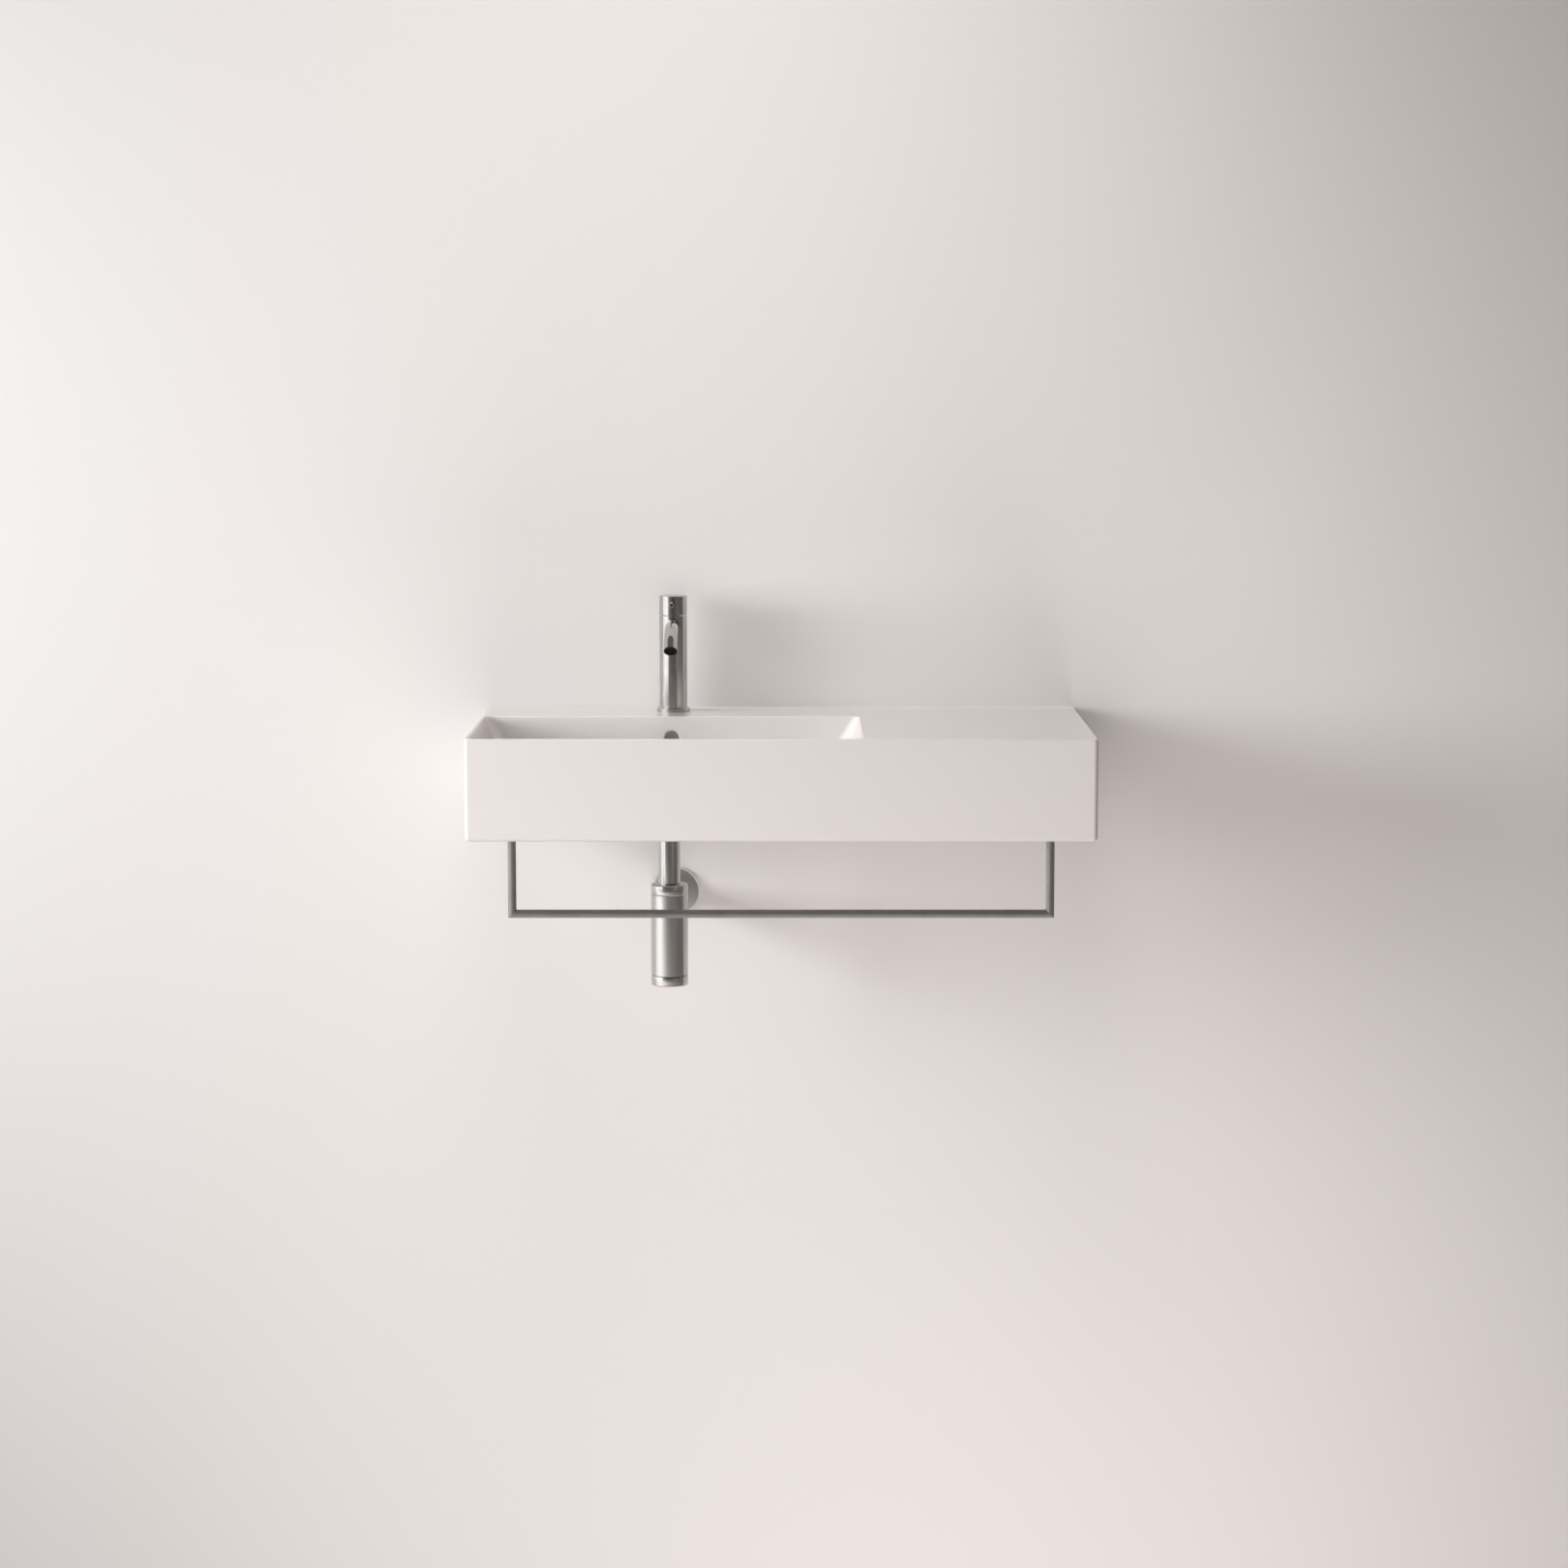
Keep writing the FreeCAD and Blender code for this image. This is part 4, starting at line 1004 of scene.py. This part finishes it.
@dataclass(frozen=True)
class Lamp:
    """A soft lamp: where it hangs in metres, its width and height, its watts and its beam in degrees."""

    name: str
    place: Point
    size: Corner
    power: float
    warm: bool = False
    spread: float = 180.0


@dataclass(frozen=True)
class Band:
    """A band of the mirror screen: the height it starts at, and its glow at each angle round the basin."""

    start: float
    levels: tuple[Corner, ...]


LOW_LEVELS: tuple[Corner, ...] = (
    (-96.0, 1.00), (-78.0, 1.45), (-62.0, 1.75), (-44.0, 1.60), (-30.0, 1.05), (-14.0, 0.48), (0.0, 0.32),
    (22.0, 0.24), (46.0, 0.17), (82.0, 0.18), (96.0, 0.30),
)


@dataclass
class Studio:
    """Camera, soft light, a pale backdrop and a screen that the metal mirrors."""

    camera_place: Point = (0.0041, -5.7516, 0.6438)
    camera_pitch: float = 6.8185
    camera_lens: float = 86.284
    camera_sensor: float = 36.0
    camera_reach: float = 60.0
    wall_y: float = 0.0015
    wall_top: float = 3.6
    floor_z: float = -1.75
    floor_front: float = -7.0
    half_width: float = 5.0
    cove_radius: float = 0.30
    cove_steps: int = 24
    backdrop_colour: Colour = (0.94, 0.935, 0.93)
    # painted shade: the backdrop's paint is darker on the left, where the lamps are near, to even out their
    # light
    backdrop_painted_shade: Colour = (0.60, 0.60, 0.605)
    painted_shade_span: Corner = (-2.0, 0.7)
    backdrop_roughness: float = 0.9
    backdrop_gloss: float = 0.1
    floor_glow: float = 0.72
    floor_mirrored: float = 0.35
    floor_fade: Corner = (-1.40, -1.60)
    touch: float = 0.016
    air_colour: Colour = (0.92, 0.905, 0.895)
    air_diffuse: float = 0.006
    warm: Colour = (1.0, 0.90, 0.86)
    neutral: Colour = (1.0, 0.99, 0.975)
    lamps: tuple[Lamp, ...] = (
        Lamp("mid_left", (-2.88, -1.80, 0.55), (2.0, 1.2), 60.0),
        Lamp("grazing", (-2.80, -1.00, 0.45), (0.5, 1.0), 20.0),
        Lamp("high_left", (-2.60, -1.00, 1.70), (0.8, 0.8), 12.0),
        Lamp("low_front", (0.40, -4.60, -0.70), (2.2, 2.2), 28.0, True),
        Lamp("overhead", (-0.30, -0.55, 2.60), (1.4, 1.0), 7.6, True, 75.0),
        Lamp("under", (0.20, -1.70, -1.80), (2.0, 2.0), 25.0, True),
        Lamp("front_left", (-1.40, -3.80, -0.90), (1.8, 1.8), 18.0, True),
        Lamp("behind", (0.60, 3.20, -0.60), (2.2, 2.2), 85.0, True),
    )
    ceiling_centre: Point = (-0.164, -1.40, 2.60)
    ceiling_half: Corner = (1.8, 1.4)
    ceiling_level: float = 0.18
    screen_centre: Point = (-0.164, -0.12, 0.0)
    screen_radius: float = 3.0
    screen_low: float = -1.7
    screen_high: float = 2.6
    screen_steps: int = 64
    screen_warm: Colour = (1.0, 0.94, 0.91)
    screen_peak: float = 2.0
    screen_span: Corner = (-96.0, 96.0)
    screen_fade: float = 0.035
    screen_bands: tuple[Band, ...] = (
        Band(-9.0, LOW_LEVELS),
        Band(-1.35, (
            (-96.0, 1.00), (-78.0, 1.45), (-62.0, 1.75), (-44.0, 1.60), (-30.0, 1.35), (-14.0, 1.00),
            (0.0, 0.74), (22.0, 0.48), (46.0, 0.34), (82.0, 0.22), (96.0, 0.30),
        )),
        Band(-0.83, LOW_LEVELS),
        Band(-0.55, (
            (-96.0, 1.20), (-82.0, 1.60), (-66.0, 1.95), (-44.0, 1.95), (-40.0, 0.42), (-28.0, 0.24),
            (-18.0, 0.15), (18.0, 0.15), (32.0, 0.34), (44.0, 0.30), (60.0, 0.17), (96.0, 0.30),
        )),
        Band(0.0, (
            (-96.0, 1.20), (-82.0, 1.60), (-66.0, 1.95), (-44.0, 1.70), (-38.0, 0.42), (-24.0, 0.20),
            (-6.0, 0.10), (30.0, 0.07), (70.0, 0.07), (96.0, 0.25),
        )),
    )

    def build(self) -> None:
        """Sets up the camera, the lamps, the world and the stage."""
        scene = bpy.context.scene
        scene.view_settings.view_transform = "Standard"
        scene.camera = self._camera()
        scene.world = self._air()
        for lamp in self.lamps:
            self._hang(lamp)
        self._backdrop()
        self._screen()
        self._ceiling()

    def _camera(self) -> Thing:
        """Places the camera at the photograph's viewing angle.

        Returns:
            The camera.
        """
        data = bpy.data.cameras.new("camera")
        data.lens = self.camera_lens
        data.sensor_width = self.camera_sensor
        data.clip_end = self.camera_reach
        camera = linked("camera", data)
        camera.location = self.camera_place
        camera.rotation_euler = (math.radians(90.0 - self.camera_pitch), 0.0, 0.0)
        return camera

    def _air(self) -> bpy.types.World:
        """Makes a pale world: full strength where it is seen or mirrored, dimmer and warmer as light.

        Returns:
            The world.
        """
        world = bpy.data.worlds.new("studio air")
        bench = NodeBench.cleared(world)
        path = bench.add("ShaderNodeLightPath").outputs
        seen = bench.math("MAXIMUM", path["Is Camera Ray"], path["Is Glossy Ray"])
        seen = bench.math("MAXIMUM", seen, path["Is Transmission Ray"])
        dim = tuple(self.air_diffuse * level for level in self.warm)
        light = bench.add("ShaderNodeBackground", {"Color": bench.blend(seen, dim, self.air_colour)})
        bench.add("ShaderNodeOutputWorld", {"Surface": light.outputs["Background"]})
        return world

    def _hang(self, lamp: Lamp) -> None:
        """Hangs a soft lamp that faces the basin and doesn't show in metal.

        Args:
            lamp: the lamp's place, size and light.
        """
        data = bpy.data.lights.new(lamp.name, "AREA")
        data.shape = "RECTANGLE"
        data.size, data.size_y = lamp.size
        data.energy = lamp.power
        data.spread = math.radians(lamp.spread)
        data.color = self.warm if lamp.warm else self.neutral
        thing = linked(lamp.name, data)
        thing.location = lamp.place
        thing.rotation_euler = (-Vector(lamp.place)).to_track_quat("-Z", "Y").to_euler()
        thing.visible_camera = False
        thing.visible_glossy = False

    def _backdrop(self) -> Thing:
        """Makes the wall and the floor as one sheet with a round cove, seen from its front only.

        Returns:
            The sheet.
        """
        mesh = bmesh.new()
        line = [(self.wall_y, self.wall_top), (self.wall_y, self.floor_z), (self.floor_front, self.floor_z)]
        points = [mesh.verts.new((-self.half_width, y, z)) for y, z in line]
        edges = [mesh.edges.new(pair) for pair in zip(points, points[1:])]
        grown = bmesh.ops.extrude_edge_only(mesh, edges=edges)["geom"]
        bmesh.ops.translate(mesh, vec=(2 * self.half_width, 0, 0),
                            verts=[item for item in grown if isinstance(item, bmesh.types.BMVert)])
        corner = [edge for edge in mesh.edges if len(edge.link_faces) == 2]
        bmesh.ops.bevel(mesh, geom=corner, offset=self.cove_radius, segments=self.cove_steps, profile=0.5,
                        affect="EDGES", material=-1)
        wall = max(mesh.faces, key=lambda face: face.calc_center_median().z)
        mesh.normal_update()
        if wall.normal.y > 0:
            bmesh.ops.reverse_faces(mesh, faces=mesh.faces[:])
        sheet = self._stage_piece("backdrop", mesh, self._backdrop_material(), True)
        sheet.data.shade_smooth()
        return sheet

    def _backdrop_material(self) -> Material:
        """Makes a matt pale paint with painted shade near the lamps, bright on the floor and clear from
        behind.

        Returns:
            The material.
        """
        material = bpy.data.materials.new("pale backdrop")
        bench = NodeBench.cleared(material)
        spot = bench.axes(bench.place())
        path = bench.add("ShaderNodeLightPath").outputs
        # painted shade: the paint darkens towards the left, where the lamps are near
        painted_shade = bench.remap(spot["X"], self.painted_shade_span, smooth=True)
        sunk = bench.remap(spot["Z"], self.floor_fade, smooth=True)
        mirrored = bench.math("MULTIPLY", path["Is Glossy Ray"], self.floor_mirrored)
        seen = bench.math("MULTIPLY", sunk, bench.math("MAXIMUM", path["Is Camera Ray"], mirrored))
        paint = bench.add("ShaderNodeBsdfPrincipled", {
            "Base Color": bench.blend(painted_shade, self.backdrop_painted_shade, self.backdrop_colour),
            "Roughness": self.backdrop_roughness,
            "Specular IOR Level": self.backdrop_gloss,
            "Emission Color": self.air_colour,
            "Emission Strength": bench.math("MULTIPLY", seen, self.floor_glow),
        })
        clear = bench.add("ShaderNodeBsdfTransparent")
        near = bench.math("LESS_THAN", path["Ray Length"], self.touch)
        touching = bench.math("MULTIPLY", near, path["Is Glossy Ray"])
        behind = bench.add("ShaderNodeNewGeometry").outputs["Backfacing"]
        mix = bench.add("ShaderNodeMixShader", {
            "Fac": bench.math("MAXIMUM", behind, touching),
            1: paint.outputs["BSDF"],
            2: clear.outputs["BSDF"],
        })
        bench.show(mix.outputs["Shader"])
        return material

    def _screen(self) -> Thing:
        """Makes the round screen of light and dark panels that only shows as a reflection.

        Returns:
            The screen.
        """
        mesh = bmesh.new()
        first, last = (math.radians(angle) for angle in self.screen_span)
        centre = Vector(self.screen_centre)
        reach = Vector((math.sin(first), -math.cos(first), 0.0)) * self.screen_radius
        heights = (self.screen_low, self.screen_high)
        ends = [mesh.verts.new(centre + reach + Vector((0.0, 0.0, height))) for height in heights]
        edge = mesh.edges.new(ends)
        bmesh.ops.spin(mesh, geom=ends + [edge], cent=centre, axis=(0, 0, 1), dvec=(0, 0, 0),
                       angle=last - first, steps=self.screen_steps, use_merge=False)
        return self._stage_piece("mirror_screen", mesh, self._screen_material(first, last - first), False)

    def _ceiling(self) -> Thing:
        """Makes the dim ceiling over the basin, which only shows as a reflection.

        Returns:
            The ceiling.
        """
        mesh = bmesh.new()
        bmesh.ops.create_grid(mesh, x_segments=1, y_segments=1, size=1.0)
        bmesh.ops.scale(mesh, vec=(*self.ceiling_half, 1.0), verts=mesh.verts[:])
        bmesh.ops.translate(mesh, vec=self.ceiling_centre, verts=mesh.verts[:])
        material = bpy.data.materials.new("mirror ceiling")
        bench = NodeBench.cleared(material)
        colour = tuple(self.ceiling_level * value for value in self.screen_warm)
        bench.show(bench.add("ShaderNodeEmission", {"Color": colour}).outputs["Emission"])
        return self._stage_piece("mirror_ceiling", mesh, material, False)

    def _screen_material(self, first: float, sweep: float) -> Material:
        """Makes the panels' glow, which changes round the screen and from band to band.

        Args:
            first: angle of the first panel in radians.
            sweep: angle from the first to the last.

        Returns:
            The material.
        """
        material = bpy.data.materials.new("mirror screen")
        bench = NodeBench.cleared(material)
        spot = bench.axes(bench.place(move=tuple(-value for value in self.screen_centre)))
        turn = bench.math("ARCTAN2", spot["X"], bench.math("MULTIPLY", spot["Y"], -1.0))
        share = bench.math("DIVIDE", bench.math("SUBTRACT", turn, first), sweep)
        colour = self._panel(bench, share, self.screen_bands[0])
        for band in self.screen_bands[1:]:
            edge = (band.start - self.screen_fade, band.start + self.screen_fade)
            mask = bench.remap(spot["Z"], edge, smooth=True)
            colour = bench.blend(mask, colour, self._panel(bench, share, band))
        glow = bench.add("ShaderNodeEmission", {"Color": colour, "Strength": self.screen_peak})
        bench.show(glow.outputs["Emission"])
        return material

    def _panel(self, bench: NodeBench, share: Socket, band: Band) -> Socket:
        """Makes the glow of one band of the screen.

        Args:
            bench: bench on the screen's nodes.
            share: place round the screen, from 0 to 1.
            band: the band.

        Returns:
            Its colour.
        """
        low, high = self.screen_span
        ramp = bench.add("ShaderNodeValToRGB", {"Fac": share})
        stops = ramp.color_ramp.elements
        for index, (angle, level) in enumerate(band.levels):
            spot = (angle - low) / (high - low)
            stop = stops[index] if index < 2 else stops.new(spot)
            stop.position = spot
            tint = self.neutral if level > 1.0 else self.screen_warm
            stop.color = (*(level * value / self.screen_peak for value in tint), 1.0)
        return ramp.outputs["Color"]

    @staticmethod
    def _stage_piece(name: str, mesh: Mesh, material: Material, seen: bool) -> Thing:
        """Makes a stage piece that sheds no light on the basin and no shadow.

        Args:
            name: name of the object.
            mesh: its mesh, which is freed.
            material: its material.
            seen: false if it only shows as a reflection.

        Returns:
            The object.
        """
        data = bpy.data.meshes.new(name)
        mesh.to_mesh(data)
        mesh.free()
        data.materials.append(material)
        thing = linked(name, data)
        thing.visible_diffuse = False
        thing.visible_shadow = False
        thing.visible_camera = seen
        thing.visible_transmission = seen
        return thing


def main() -> None:
    """Builds the basin's sub-assemblies and the studio."""
    logging.basicConfig(level=logging.INFO, format="%(name)s: %(message)s")
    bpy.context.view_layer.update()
    wardrobe = Wardrobe()
    for assembly in (CeramicBody, MixerTap, WasteFitting, BottleTrap, TowelRail, WallFixings):
        assembly(wardrobe).build()
    Studio().build()


if __name__ == "__main__":
    main()
